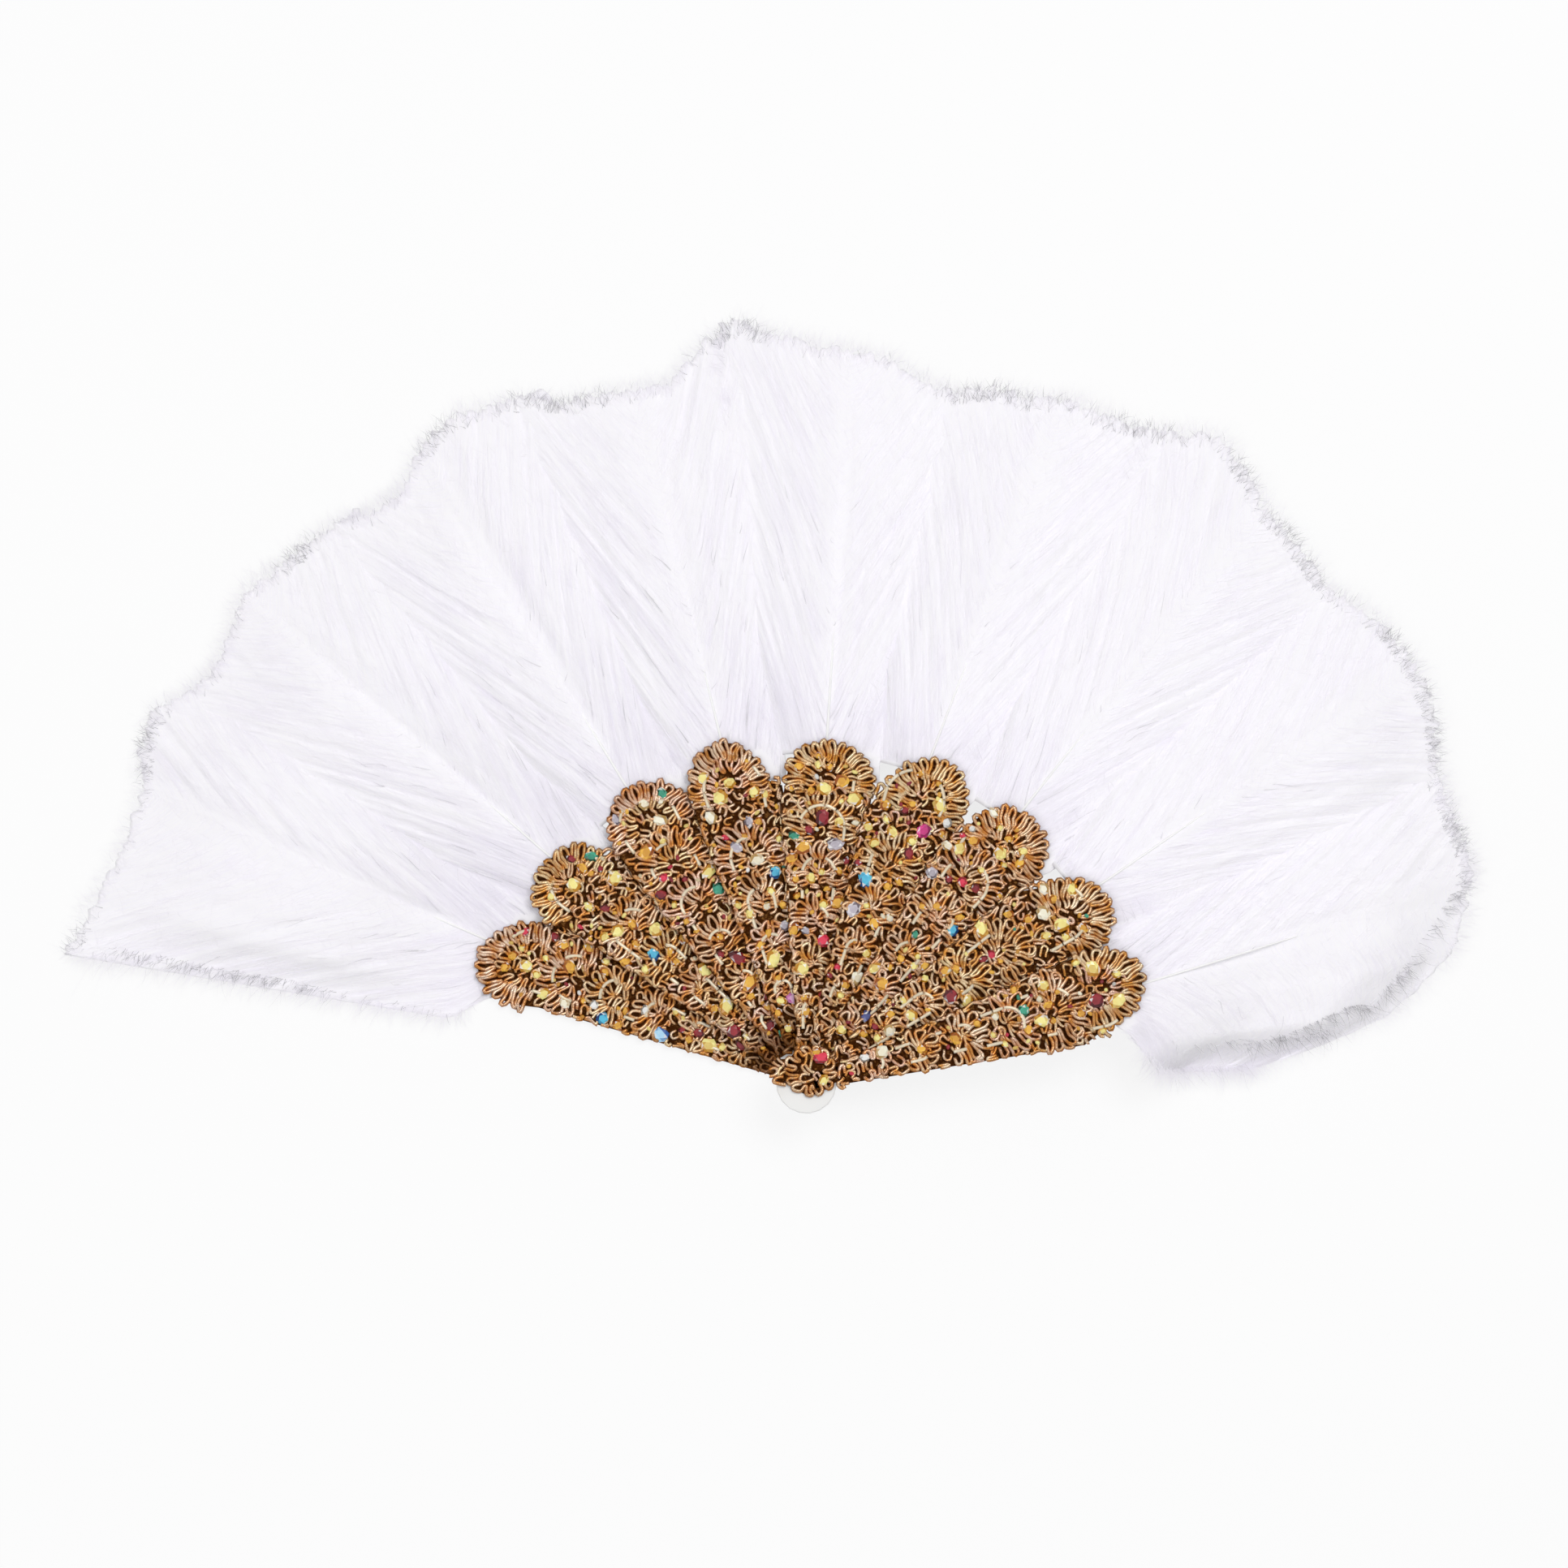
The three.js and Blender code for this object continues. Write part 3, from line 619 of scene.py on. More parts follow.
def plastic_finish(look):
    """White moulded plastic: a faint flow texture, and handling marks near the rivet."""
    r = finish("white moulded plastic")
    where = r.place()
    flow = r.noise(where, 55.0, 4.0)
    grain = r.noise(where, 1400.0, 2.0)
    handled = (1 - r.ramp(r.from_rivet(where), mm(6), mm(60))) * r.ramp(flow, 0.42, 0.66)
    return r.output(r.surface(
        Base_Color=r.mix(handled * 0.55, r.mix(flow, look.plastic, look.plastic_shade), look.plastic_worn),
        Roughness=0.3 + grain * 0.16 + handled * 0.12,
        Normal=r.bump(grain, 0.12, mm(0.05)),
        Coat_Weight=0.12,
    ))


def satin_finish(look):
    """Narrow satin ribbon: fine crossing threads, and a denser woven edge."""
    r = finish("white satin")
    along, across = r.lay()
    warp = r.wave(across * (math.tau * WARP_THREADS))
    weft = r.wave(along * (math.tau / WEFT_STEP))
    thread = warp * 0.35 + weft * 0.15 + 0.5
    aside = r.node("ShaderNodeMath", {"operation": "ABSOLUTE"}, {0: across - 0.5})
    edge = r.ramp(aside, 0.4, 0.46)
    return r.output(r.surface(
        Base_Color=r.mix(edge * 0.4, r.mix(thread, look.satin_shade, look.satin), look.satin_shade),
        Roughness=0.42 + edge * 0.2,
        Sheen_Weight=0.35,
        Sheen_Roughness=0.3,
        Normal=r.bump(thread, 0.3, mm(0.06)),
    ))


def rivet_finish(look):
    """Nickelled rivet: turned rings and small scratches."""
    r = finish("nickelled rivet")
    where = r.place()
    rings = r.wave(r.from_rivet(where) * (math.tau / mm(RIVET_RING))) * 0.5 + 0.5
    scratch = r.noise(where, 900.0, 5.0, 0.7)
    return r.output(r.surface(
        Base_Color=r.mix(r.ramp(scratch, 0.4, 0.7) * 0.5, look.nickel, look.nickel_worn),
        Metallic=1.0,
        Roughness=0.22 + scratch * 0.2,
        Normal=r.bump(rings + scratch, 0.12, mm(0.04)),
    ))


def floor_finish(look):
    """Pale floor that shows nearly white to the camera, and keeps a little of the fan's shadow."""
    r = finish("pale floor")
    speck = r.noise(r.place(), 240.0, 2.0)
    colour = r.mix(speck * 0.04, look.floor, look.floor_speck)
    lit = r.surface(Base_Color=colour, Roughness=0.9, Specular_IOR_Level=0.1)
    rays = ("Is Camera Ray", "Is Glossy Ray", "Is Transmission Ray")
    camera, glossy, through = (r.node("ShaderNodeLightPath", out=ray) for ray in rays)
    white = r.node("ShaderNodeEmission", None, {"Color": (1, 1, 1, 1), "Strength": 1.0})
    seen = (camera + glossy + through) * 0.8
    return r.output(r.node("ShaderNodeMixShader", None, {0: seen, 1: lit, 2: white}))


# What a user would change


def colour_setting(name, description, default):
    return FloatVectorProperty(
        name=name, description=description, subtype="COLOR", size=3, min=0.0, max=1.0, default=default,
    )


def length_setting(name, description, default):
    return FloatProperty(
        name=name, description=description, default=default, min=0.0, precision=5,
        subtype="DISTANCE", unit="LENGTH",
    )


def count_setting(name, description, default, least=0):
    return IntProperty(name=name, description=description, default=default, min=least)


def number_setting(name, description, default, **kind):
    return FloatProperty(name=name, description=description, default=default, **kind)


class FanBeadwork(bpy.types.PropertyGroup):
    """Sizes and colours of the beadwork panels"""

    wire: length_setting("Bullion wire", "Half the width of the coiled gold wire", mm(0.78))
    loop_pitch: length_setting("Loop pitch", "Distance from one bullion loop to the next", mm(3.3))
    loop_length: length_setting("Loop length", "How far each loop of the lobe reaches inwards", mm(7))
    cloth: length_setting("Backing cloth", "Thickness of the buckram under the beads", mm(0.25))
    hooks: count_setting("Wire hooks", "Most hooks of wire sewn over bare cloth", 150)
    beads: count_setting("Small beads", "Stones and small beads on each panel", 46)
    gold: colour_setting("Gold", "Bright side of the bullion wire", (1.0, 0.85, 0.63))
    # Painted shade down the sides of the wire
    painted_flank_shade: colour_setting("Flank", "Sides of the bullion wire", (0.38, 0.115, 0.014))
    deep_gold: colour_setting("Deep gold", "Duller stretches of the wire", (0.68, 0.31, 0.08))
    # Painted shade between the turns of the wire, and in the low points of the cloth's weave
    groove_shade: colour_setting("Groove brown", "Between the turns of the wire", (0.045, 0.011, 0.001))
    backing: colour_setting("Backing brown", "Buckram cloth", (0.070, 0.020, 0.003))
    cut_bead: colour_setting("Cut bead", "Bright side of the pale cut beads", (1.0, 0.94, 0.78))
    cut_bead_low: colour_setting("Cut bead lining", "Gold lining of the cut beads", (0.86, 0.66, 0.38))


class FanPlumes(bpy.types.PropertyGroup):
    """Sizes and colours of the plumes"""

    barbs: count_setting("Barbs", "Long barbs on each plume", 2200, 100)
    locks: count_setting("Locks", "Groups of barbs that lie together", 170, 10)
    barb_width: length_setting("Barb width", "Width of a barb near the quill", mm(0.2))
    hairs: count_setting("Short hairs", "Short hairs over each plume", 2600)
    rim_hairs: count_setting("Rim hairs", "Fine hairs along the rim of each plume", 800)
    side_hairs: count_setting("Side hairs", "Fine hairs along the sides of each plume", 1000)
    plume_white: colour_setting("Plume white", "Lit barbs", (0.989, 0.976, 1.0))
    plume_shade: colour_setting("Plume shade", "Duller barbs", (0.966, 0.950, 1.0))
    quill_butt: colour_setting("Quill butt", "Milky horn at the thick end", (0.965, 0.955, 0.93))
    quill_white: colour_setting("Quill white", "Horn further out", (0.985, 0.98, 0.975))


class FanSticks(bpy.types.PropertyGroup):
    """Colours of the sticks, the ribbon and the rivet"""

    plastic: colour_setting("Plastic", "White plastic of the sticks", (0.92, 0.915, 0.90))
    plastic_shade: colour_setting("Plastic shade", "Flow marks in the plastic", (0.86, 0.855, 0.845))
    plastic_worn: colour_setting("Worn plastic", "Handled plastic near the rivet", (0.78, 0.75, 0.69))
    satin: colour_setting("Satin", "Raised threads of the ribbon", (0.93, 0.925, 0.91))
    satin_shade: colour_setting("Satin shade", "Low threads of the ribbon", (0.74, 0.73, 0.72))
    nickel: colour_setting("Nickel", "Rivet metal", (0.72, 0.71, 0.69))
    nickel_worn: colour_setting("Worn nickel", "Scratches in the rivet", (0.52, 0.50, 0.47))


class FanStage(bpy.types.PropertyGroup):
    """Camera, floor and light"""

    view_width: length_setting("View width", "Width of the picture at the fan", mm(547.4))
    focal_length: number_setting("Lens", "Focal length in millimetres", 105.0, min=10.0)
    roll: number_setting("Roll", "Turn of the picture about its middle", math.radians(3.5), subtype="ANGLE")
    key_power: number_setting("Key light", "Watts of the main lamp", 15.0, subtype="POWER")
    fill_power: number_setting("Fill light", "Watts of the second lamp", 6.2, subtype="POWER")
    zenith: number_setting("Sky above", "Strength of the light from above", 0.72)
    horizon: number_setting("Sky at the side", "Strength of the light from the sides", 0.42)
    floor: colour_setting("Floor", "Pale floor", (0.93, 0.93, 0.935))
    floor_speck: colour_setting("Floor specks", "Faint specks in the floor", (0.85, 0.85, 0.86))


class FanLook(bpy.types.PropertyGroup):
    """All that can be changed on the fan"""

    beadwork: PointerProperty(type=FanBeadwork, name="Beadwork", description="Beadwork panels")
    plumes: PointerProperty(type=FanPlumes, name="Plumes", description="Marabou plumes")
    sticks: PointerProperty(type=FanSticks, name="Sticks", description="Sticks, ribbon and rivet")
    stage: PointerProperty(type=FanStage, name="Stage", description="Camera, floor and light")


# Stage

PICTURE_MIDDLE = (mm(-14.0), mm(102.8), mm(12.0))
SENSOR_WIDTH = 36.0
FLOOR_HALF, FLOOR_HEIGHT = 6.0, mm(-0.2)
KEY_PLACE, KEY_SIZE = (0.5, 0.85, 1.8), 0.9
FILL_PLACE, FILL_SIZE = (-1.0, -0.5, 1.5), 1.0
LAMPS_AIM = (0, 0.11, 0)


class FAN_OT_stage(bpy.types.Operator):
    """Set up the camera above the fan, the floor and the light"""

    bl_idname = "fan.stage"
    bl_label = "Stage"

    def execute(self, context):
        look = context.scene.feather_fan.stage
        self.camera(context.scene, look)
        self.floor(look)
        self.lamp("key", KEY_PLACE, KEY_SIZE, look.key_power)
        self.lamp("fill", FILL_PLACE, FILL_SIZE, look.fill_power)
        self.sky(context.scene, look)
        context.scene.view_settings.view_transform = "Standard"
        # white down is white because light goes on from barb to barb
        context.scene.cycles.max_bounces = 20
        context.scene.cycles.diffuse_bounces = 16
        return {"FINISHED"}

    def camera(self, scene, look):
        data = bpy.data.cameras.new("camera")
        data.lens, data.sensor_width = look.focal_length, SENSOR_WIDTH
        camera = bpy.data.objects.new("camera", data)
        x, y, z = PICTURE_MIDDLE
        camera.location = (x, y, z + look.view_width * look.focal_length / SENSOR_WIDTH)
        camera.rotation_euler = (0, 0, look.roll)
        scene.collection.objects.link(camera)
        scene.camera = camera

    def floor(self, look):
        mesh = bpy.data.meshes.new("floor")
        around = ((-1, -1), (1, -1), (1, 1), (-1, 1))
        corners = [(x * FLOOR_HALF, y * FLOOR_HALF, FLOOR_HEIGHT) for x, y in around]
        mesh.from_pydata(corners, [], [(0, 1, 2, 3)])
        mesh.materials.append(floor_finish(look))
        floor = bpy.data.objects.new("floor", mesh)
        bpy.context.scene.collection.objects.link(floor)

    def lamp(self, name, place, size, power):
        data = bpy.data.lights.new(name, "AREA")
        data.size, data.energy = size, power
        lamp = bpy.data.objects.new(name, data)
        lamp.location = place
        aim = Vector(LAMPS_AIM) - lamp.location
        lamp.rotation_euler = aim.to_track_quat("-Z", "Y").to_euler()
        bpy.context.scene.collection.objects.link(lamp)

    def sky(self, scene, look):
        world = scene.world or bpy.data.worlds.new("studio")
        scene.world = world
        r = Recipe(world)
        up = r.node("ShaderNodeSeparateXYZ", None, {0: r.node("ShaderNodeTexCoord")}, "Z")
        level = look.horizon + (look.zenith - look.horizon) * r.ramp(up, 0.0, 0.9)
        r.output(r.node("ShaderNodeBackground", None, {"Strength": level}), "ShaderNodeOutputWorld")


# Sticks, rivet and ribbon

RIBBON_ROWS, RIBBON_COLUMNS = 60, 13
RIBBON_WAVE = mm(0.025)


class FAN_OT_sticks(bpy.types.Operator):
    """Finish the plastic sticks and the rivet"""

    bl_idname = "fan.sticks"
    bl_label = "Sticks and Rivet"

    def execute(self, context):
        look = context.scene.feather_fan.sticks
        plastic, metal = plastic_finish(look), rivet_finish(look)
        finishes = {leaf.stick: plastic for leaf in LEAVES}
        finishes.update({"rivet_pin": metal, "rivet_cap": metal})
        for node, material in finishes.items():
            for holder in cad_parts[node].material_slots:
                holder.material = material
        return {"FINISHED"}


class FAN_OT_ribbon(bpy.types.Operator):
    """Lay the satin ribbon that spaces the sticks on the back"""

    bl_idname = "fan.ribbon"
    bl_label = "Spacing Ribbon"

    def execute(self, context):
        satin = satin_finish(context.scene.feather_fan.sticks)
        for leaf in LEAVES:
            piece = self.link(leaf).build("satin_ribbon", leaf, satin, "ribbon")
            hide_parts(f"ribbon_{leaf.number}")
        return {"FINISHED"}

    def link(self, leaf):
        """From its own stick, past the edge of the panel, and up to the underside of the next stick."""
        def turn_at(half):
            return math.atan2(half, RIBBON_INNER)

        low = leaf.level + RIBBON_LIFT
        high = leaf.level + leaf.blade + PANEL_THICK - RIBBON_THICK
        share = RIBBON_INNER / BLADE_SHOULDER
        blade_edge = turn_at(between(BLADE_ROOT_HALF, BLADE_TIP_HALF, share))
        rise_start = turn_at(panel_half(RIBBON_INNER) + RIBBON_EDGE_GAP)
        rise_end = rise_start + turn_at(RIBBON_RISE_RUN)
        far = max(rise_end, PITCH - blade_edge) + turn_at(RIBBON_LAP)
        near = far - PITCH + turn_at(SEAT_GAP)
        right = np.linspace(near, blade_edge if leaf.last else far, RIBBON_ROWS)[:, None]
        z = low + (0 if leaf.last else (high - low)) * smooth(right, rise_start, rise_end)
        across = np.linspace(0, 1, RIBBON_COLUMNS)[None]
        radius = RIBBON_INNER + RIBBON_WIDTH * across
        turn = math.pi / 2 - right
        wave = RIBBON_WAVE * np.sin(right * 90 + across * 5) * np.sin(math.pi * across)
        edge = 0.5 + 0.5 * (np.abs(across - 0.5) > 0.43)
        sheets = []
        for side in (0, 1):
            height = z + RIBBON_THICK * (0.5 + (side - 0.5) * edge) + wave
            sheets.append(np.stack([radius * np.cos(turn), radius * np.sin(turn), height], -1))
        run = (right - right[0]) * RIBBON_INNER * 1000
        return closed_sheet(*sheets, np.stack(np.broadcast_arrays(run, across), -1))


# Beadwork

# Each stone's bright and deep colour: facets are painted lit and shaded between them, beads and tables take
# a tone between at random
STONE_COLOURS = {
    "straw": ((1.0, 0.88, 0.30), (0.52, 0.22, 0.01)),
    "amber": ((0.92, 0.48, 0.06), (0.30, 0.07, 0.004)),
    "cream": ((1.0, 0.96, 0.76), (0.46, 0.28, 0.09)),
    "crystal": ((0.95, 0.95, 0.92), (0.26, 0.24, 0.21)),
    "teal": ((0.10, 0.55, 0.80), (0.002, 0.04, 0.17)),
    "sky": ((0.42, 0.72, 0.95), (0.02, 0.10, 0.38)),
    "garnet": ((0.30, 0.02, 0.03), (0.07, 0.004, 0.006)),
    "crimson": ((0.80, 0.04, 0.09), (0.25, 0.004, 0.015)),
    "magenta": ((0.78, 0.05, 0.28), (0.22, 0.004, 0.07)),
    "pink": ((0.98, 0.70, 0.90), (0.60, 0.15, 0.42)),
    "green": ((0.06, 0.40, 0.26), (0.004, 0.06, 0.03)),
    "navy": ((0.10, 0.12, 0.34), (0.01, 0.01, 0.05)),
    "lavender": ((0.60, 0.55, 0.62), (0.13, 0.10, 0.12)),
}
# The stones that stand out: (leaf, out along the stick, aside to the right) in millimetres
LARGE_STONES = {
    "teal": ((4, 73, 7), (6, 73, -6), (7, 73, 7), (2, 69, -2), (1, 74, -9)),
    "sky": ((1, 53, -6),),
    "green": ((9, 79, -3), (3, 73, 9)),
    "pink": ((4, 29, 3),),
    "magenta": ((6, 96, 7),),
    "crimson": ((5, 49, 3),),
    "garnet": ((2, 30, -4), (3, 49, 2), (9, 104, 1), (5, 92, 0), (8, 58, 3)),
    "navy": ((7, 31, 3),),
    "lavender": ((4, 85, -4), (5, 83, 5), (7, 84, -11), (6, 62, -6)),
    "straw": (
        (5, 102, 0), (4, 102, 7), (4, 103, -5), (5, 99, 11), (2, 97, 9), (2, 106, -2), (3, 80, 9),
        (2, 74, 5), (2, 84, -4), (8, 80, -10), (7, 104, 3), (6, 106, 9), (7, 97, -9), (8, 104, 4),
        (5, 39, -4), (4, 44, -1), (2, 38, 1), (1, 36, -3), (9, 88, -9), (9, 84, 2), (1, 106, -3),
        (9, 111, 3), (9, 106, -10), (2, 52, 6),
    ),
    "cream": ((6, 40, 4), (8, 34, 1), (9, 28, -3), (8, 101, -3), (4, 97, -10), (4, 79, 2), (3, 104, 4)),
    "amber": ((7, 43, -1), (5, 105, 6), (5, 63, 7), (3, 39, 1), (5, 81, -6), (3, 97, -6), (1, 92, 3)),
}
# Stones over the rivet: (aside and out from the cover's middle, radius) in millimetres, and the colour
COVER_STONES = ((-3.2, 4.6, 2.2, "crimson"), (4.4, 3.4, 1.8, "straw"), (-5.6, 4.2, 1.4, "amber"))
# How often each colour comes among the stones strewn between
SMALL_STONES = (
    ("straw", 0.32), ("amber", 0.36), ("cream", 0.06), ("crystal", 0.02), ("garnet", 0.14),
    ("lavender", 0.02), ("green", 0.03), ("crimson", 0.03),
)
# Least and greatest radius of the stones that stand out, of the strewn ones and of the beads among them
LARGE_STONE_RADIUS = (mm(2.2), mm(2.9))
SMALL_STONE_RADIUS = (mm(1.2), mm(2.1))
BEAD_RADIUS = (mm(0.7), mm(1.0))
SMALL_STONE_SHARE = 0.6
BEAD_MOST = mm(0.75)
STONE_HEIGHT, STONE_SIDES = mm(1.55), 6
STREWN_FROM, STREWN_TO, STREWN_IN_LOBE, STREWN_MARGIN = mm(14), mm(114), mm(12), mm(1.5)
TRIES_PER_BEAD = 8
# The backing cloth: how far it stops short of the beadwork's edge, and where it runs on under the next panel
CLOTH_INSET, COVER_CLOTH_INSET, CLOTH_SIDE_INSET = mm(1.3), mm(1.0), mm(0.45)
CLOTH_NECK = LOBE_CENTRE - mm(9)
CLOTH_WAIST = mm(88)
CLOTH_RUNS_ON = ((mm(16.4), mm(94.5)), (mm(16.8), mm(102)))
# Loops of bullion reach inwards by this share of a scallop's radius at most
LOOP_SHARE = 0.62
LOOP_STEPS, LOOP_PINCH = 14, 0.105
LOBE_PITCH_SHARE, INNER_PITCH_SHARE = 0.82, 0.92
LOBE_LIFT, SHELL_LIFT, INNER_LIFT = mm(0.1), mm(0.24), mm(0.05)
SCALLOP_LEG = mm(5)
INNER_GAP, INNER_MOST, INNER_LEAST = mm(0.4), mm(5), mm(2.4)
COVER_RING_INSET, COVER_LOOP = mm(2.4), mm(3.6)
WIRE_SIDES, WIRE_SQUAT = 7, 0.84
# How high a wire's middle lies above the cloth, and above the stick at least, as a share of its radius
WIRE_REST, WIRE_LEAST = 0.76, 0.6
STITCH_DRIFT = mm(0.3)
# Under a stone the wire dips; on the first sticks it is painted darker near the rivet, as the shade where
# these panels lie lowest
STONE_DIP = mm(0.6)
SHADED_STICKS, ROOT_SHADE, ROOT_SHADE_FROM, ROOT_SHADE_TO = 4, 0.16, mm(16), mm(30)
# Hooks of wire: how finely the cloth is searched for bare spots, and how bare a spot has to be
SPOT_STEP, BARE_ENOUGH = mm(0.9), mm(1.2)
COVER_SPOTS = 90
# Towards the lobe, hooks keep clear of a panel's left edge and spread over its right one
NECK_FROM, NECK_TO = LOBE_CENTRE - mm(14), LOBE_CENTRE - mm(4)
SPOTS_INSET, SPOTS_OVER, SPOTS_IN_LOBE = mm(3), mm(0.5), mm(13)
HOOKS_INSET, HOOKS_OVER = mm(2), mm(2.8)
HOOK_LEG, HOOK_BEND, HOOK_STEP, HOOK_BEND_STEPS = (mm(1.6), mm(3.4)), (mm(0.95), mm(1.25)), mm(0.6), 7
HOOK_LIFT = (mm(0.05), mm(0.3))
CUT_BEAD_LENGTH, CUT_BEAD_RADIUS, CUT_BEAD_LIFT = (mm(3.4), mm(6.4)), mm(0.62), mm(1.15)
CUT_BEAD_INSET, CUT_BEAD_LEG, CUT_BEAD_GAP, CUT_BEAD_ROOM = mm(0.3), mm(9), mm(0.35), mm(2)
CUT_BEAD_STEPS, CUT_BEADS_BARE = 6, 0.62


def shells(leaf):
    """The scallops of a panel from the lobe inwards, as (tip, radius)."""
    found = [(LOBE_TIP, LOBE_RADIUS)]
    tip = SHELL_TIP - (leaf.index % 2) * SHELL_STAGGER
    while tip > SHELL_LAST:
        found.append((tip, SHELL_WIDTH_SHARE * panel_half(tip)))
        tip -= SHELL_STEP
    return found


def horseshoe(tip, radius, leg, inset, form=PLAIN_FORM):
    """A scallop's curve: up its right leg, round the tip and down the left leg; and the way outwards."""
    shoulder, peak, lean, shift = form
    turn = np.linspace(0, math.pi, 60)
    way = bearing(turn)
    centre = tip - radius
    from_peak = turn - math.pi / 2 + math.radians(lean)
    full = shoulder + (peak - shoulder) * np.exp(-((from_peak / 0.75) ** 2))
    bow = np.array([0, centre]) + (radius * full - inset)[:, None] * way
    y = np.linspace(max(centre - leg, PANEL_START), centre, 24)[:-1]
    wide = panel_half(y) / panel_half(centre) * radius
    right, left = (np.column_stack([np.maximum(wide * full[end] - inset, mm(0.5)), y]) for end in (0, -1))
    side = np.tile((1.0, 0.0), (len(y), 1))
    mirror = np.array([-1, 1])
    line = np.concatenate([right, bow, left[::-1] * mirror]) + (mm(shift), 0)
    return line, np.concatenate([side, way, side * mirror])


def ring(centre, radius):
    """A circle, and the way outwards."""
    way = bearing(np.linspace(0, math.tau, 80))
    return np.array(centre) + radius * way, way


def panel_outline(leaf):
    """The cloth's edge, from its right root round the lobe to its left root."""
    lobe = horseshoe(LOBE_TIP, LOBE_RADIUS, 0, CLOTH_INSET, leaf.lobe)[0]
    half, root = PANEL_START_HALF - mm(0.2), PANEL_START - mm(0.8)
    wide = panel_half(CLOTH_NECK) - CLOTH_SIDE_INSET
    right = [(wide, CLOTH_NECK)]
    if not leaf.last:
        right = [(panel_half(CLOTH_WAIST) - CLOTH_SIDE_INSET, CLOTH_WAIST), *CLOTH_RUNS_ON]
    return np.concatenate([[(half, root), *right], lobe, [(-wide, CLOTH_NECK), (-half, root)]])


def meander(line, way, pitch, depth, rng):
    """Bullion laid to and fro across a line: round loops to one side, round turns to the other."""
    run = run_along(line)
    loops = max(2, int(run[-1] / pitch))
    phase = np.linspace(0, math.tau * loops, loops * LOOP_STEPS + 1)
    turns = np.linspace(0, phase[-1], loops + 1)
    lean = np.interp(phase, turns, rng.uniform(-0.3, 0.3, loops + 1))
    along = run[-1] * phase / phase[-1] - pitch * (LOOP_PINCH * np.sin(2 * phase) + 0.06 * np.cos(phase))
    along = np.clip(along + pitch * lean * np.sin(phase), 0, run[-1])
    wobble = 1 + 0.2 * np.interp(phase, turns, rng.uniform(-1, 1, loops + 1))
    deep = np.interp(along, run, np.broadcast_to(depth, len(run)))
    out = 0.5 * deep * wobble * np.sin(phase)
    outward = unit(along_line(along, run, way))
    return along_line(along, run, line) + outward * out[:, None], phase


def hand_sewn(flat, leaf):
    """Moves the points of a wire a little, as uneven stitches do."""
    x, y = flat[:, 0] * 1000, flat[:, 1] * 1000
    own = leaf.index * 1.7
    aside = np.sin(0.55 * x + 0.83 * y + own) + np.sin(1.05 * y - 0.6 * x + 2 * own)
    along = np.sin(0.77 * x - 0.48 * y + 3 * own) + np.sin(0.9 * x + 0.7 * y + own)
    return flat + STITCH_DRIFT * np.stack([aside, along], -1)


def gem(shape, centre, radius, stretch, turn, colours, rng):
    """A faceted stone: a girdle, a crown of kite facets and a flat table."""
    sides = STONE_SIDES
    rings = []
    for share, z, twist in ((0.86, 0.0, 0), (1.0, 0.32, 0), (0.8, 0.72, 0.5), (0.5, 1.0, 0)):
        angle = math.tau * (np.arange(sides) + twist) / sides
        flat = spun(bearing(angle) * (stretch, 1) * radius * share, turn)
        rings.append(np.column_stack([flat, np.full(sides, z * STONE_HEIGHT)]))
    points = np.concatenate(rings) + centre
    j = np.arange(sides)
    nxt = (j + 1) % sides
    base = np.stack([j, nxt, sides + nxt, sides + j], -1)
    low = np.stack([sides + j, sides + nxt, 2 * sides + j], -1)
    kite = np.stack([sides + nxt, 2 * sides + nxt, 2 * sides + j], -1)
    top = np.stack([2 * sides + j, 3 * sides + nxt, 3 * sides + j], -1)
    star = np.stack([2 * sides + j, 2 * sides + nxt, 3 * sides + nxt], -1)
    bright, deep = colours
    # Painted light: facets facing a random side are painted bright and the far ones deep, the lower band
    # darker, and a few get a painted white glint
    painted_light_from = rng.uniform(0, math.tau)
    for faces, most in ((base, 0.4), (np.concatenate([low, kite, top, star]), 1.0)):
        lit = 0.45 + 0.8 * np.cos(math.tau * np.arange(len(faces)) / sides - painted_light_from)
        lit = np.clip(lit + rng.uniform(-0.3, 0.3, len(faces)), 0, 1)
        shade = between(deep, bright, most * lit[:, None])
        painted_glint = (rng.uniform(0, 1, len(faces)) > 0.9)[:, None] * 0.7
        shape.add(points, faces, None, np.repeat(between(shade, 1.0, painted_glint), faces.shape[1], 0), True)
    shape.add(points[3 * sides:], j[None], None, between(deep, bright, rng.uniform(0.5, 1.0)), True)


def bead(shape, centre, radius, colour, long, turn):
    """A small round or barrel-shaped bead with a flattened foot."""
    around, rows = 8, 5
    up = np.linspace(-0.42, 0.5, rows) * math.pi
    angle = math.tau * np.arange(around) / around
    flat = np.cos(up)[:, None, None] * (bearing(angle) * (long, 1))[None]
    height = np.broadcast_to(np.sin(up)[:, None, None], (rows, around, 1))
    points = np.concatenate([spun(flat, turn), height], -1)
    i, j = (a.ravel() for a in np.meshgrid(np.arange(rows - 1), np.arange(around), indexing="ij"))
    nxt = (j + 1) % around
    faces = np.stack([i * around + j, i * around + nxt, (i + 1) * around + nxt, (i + 1) * around + j], -1)
    shape.add(points * radius + centre, faces, None, colour)


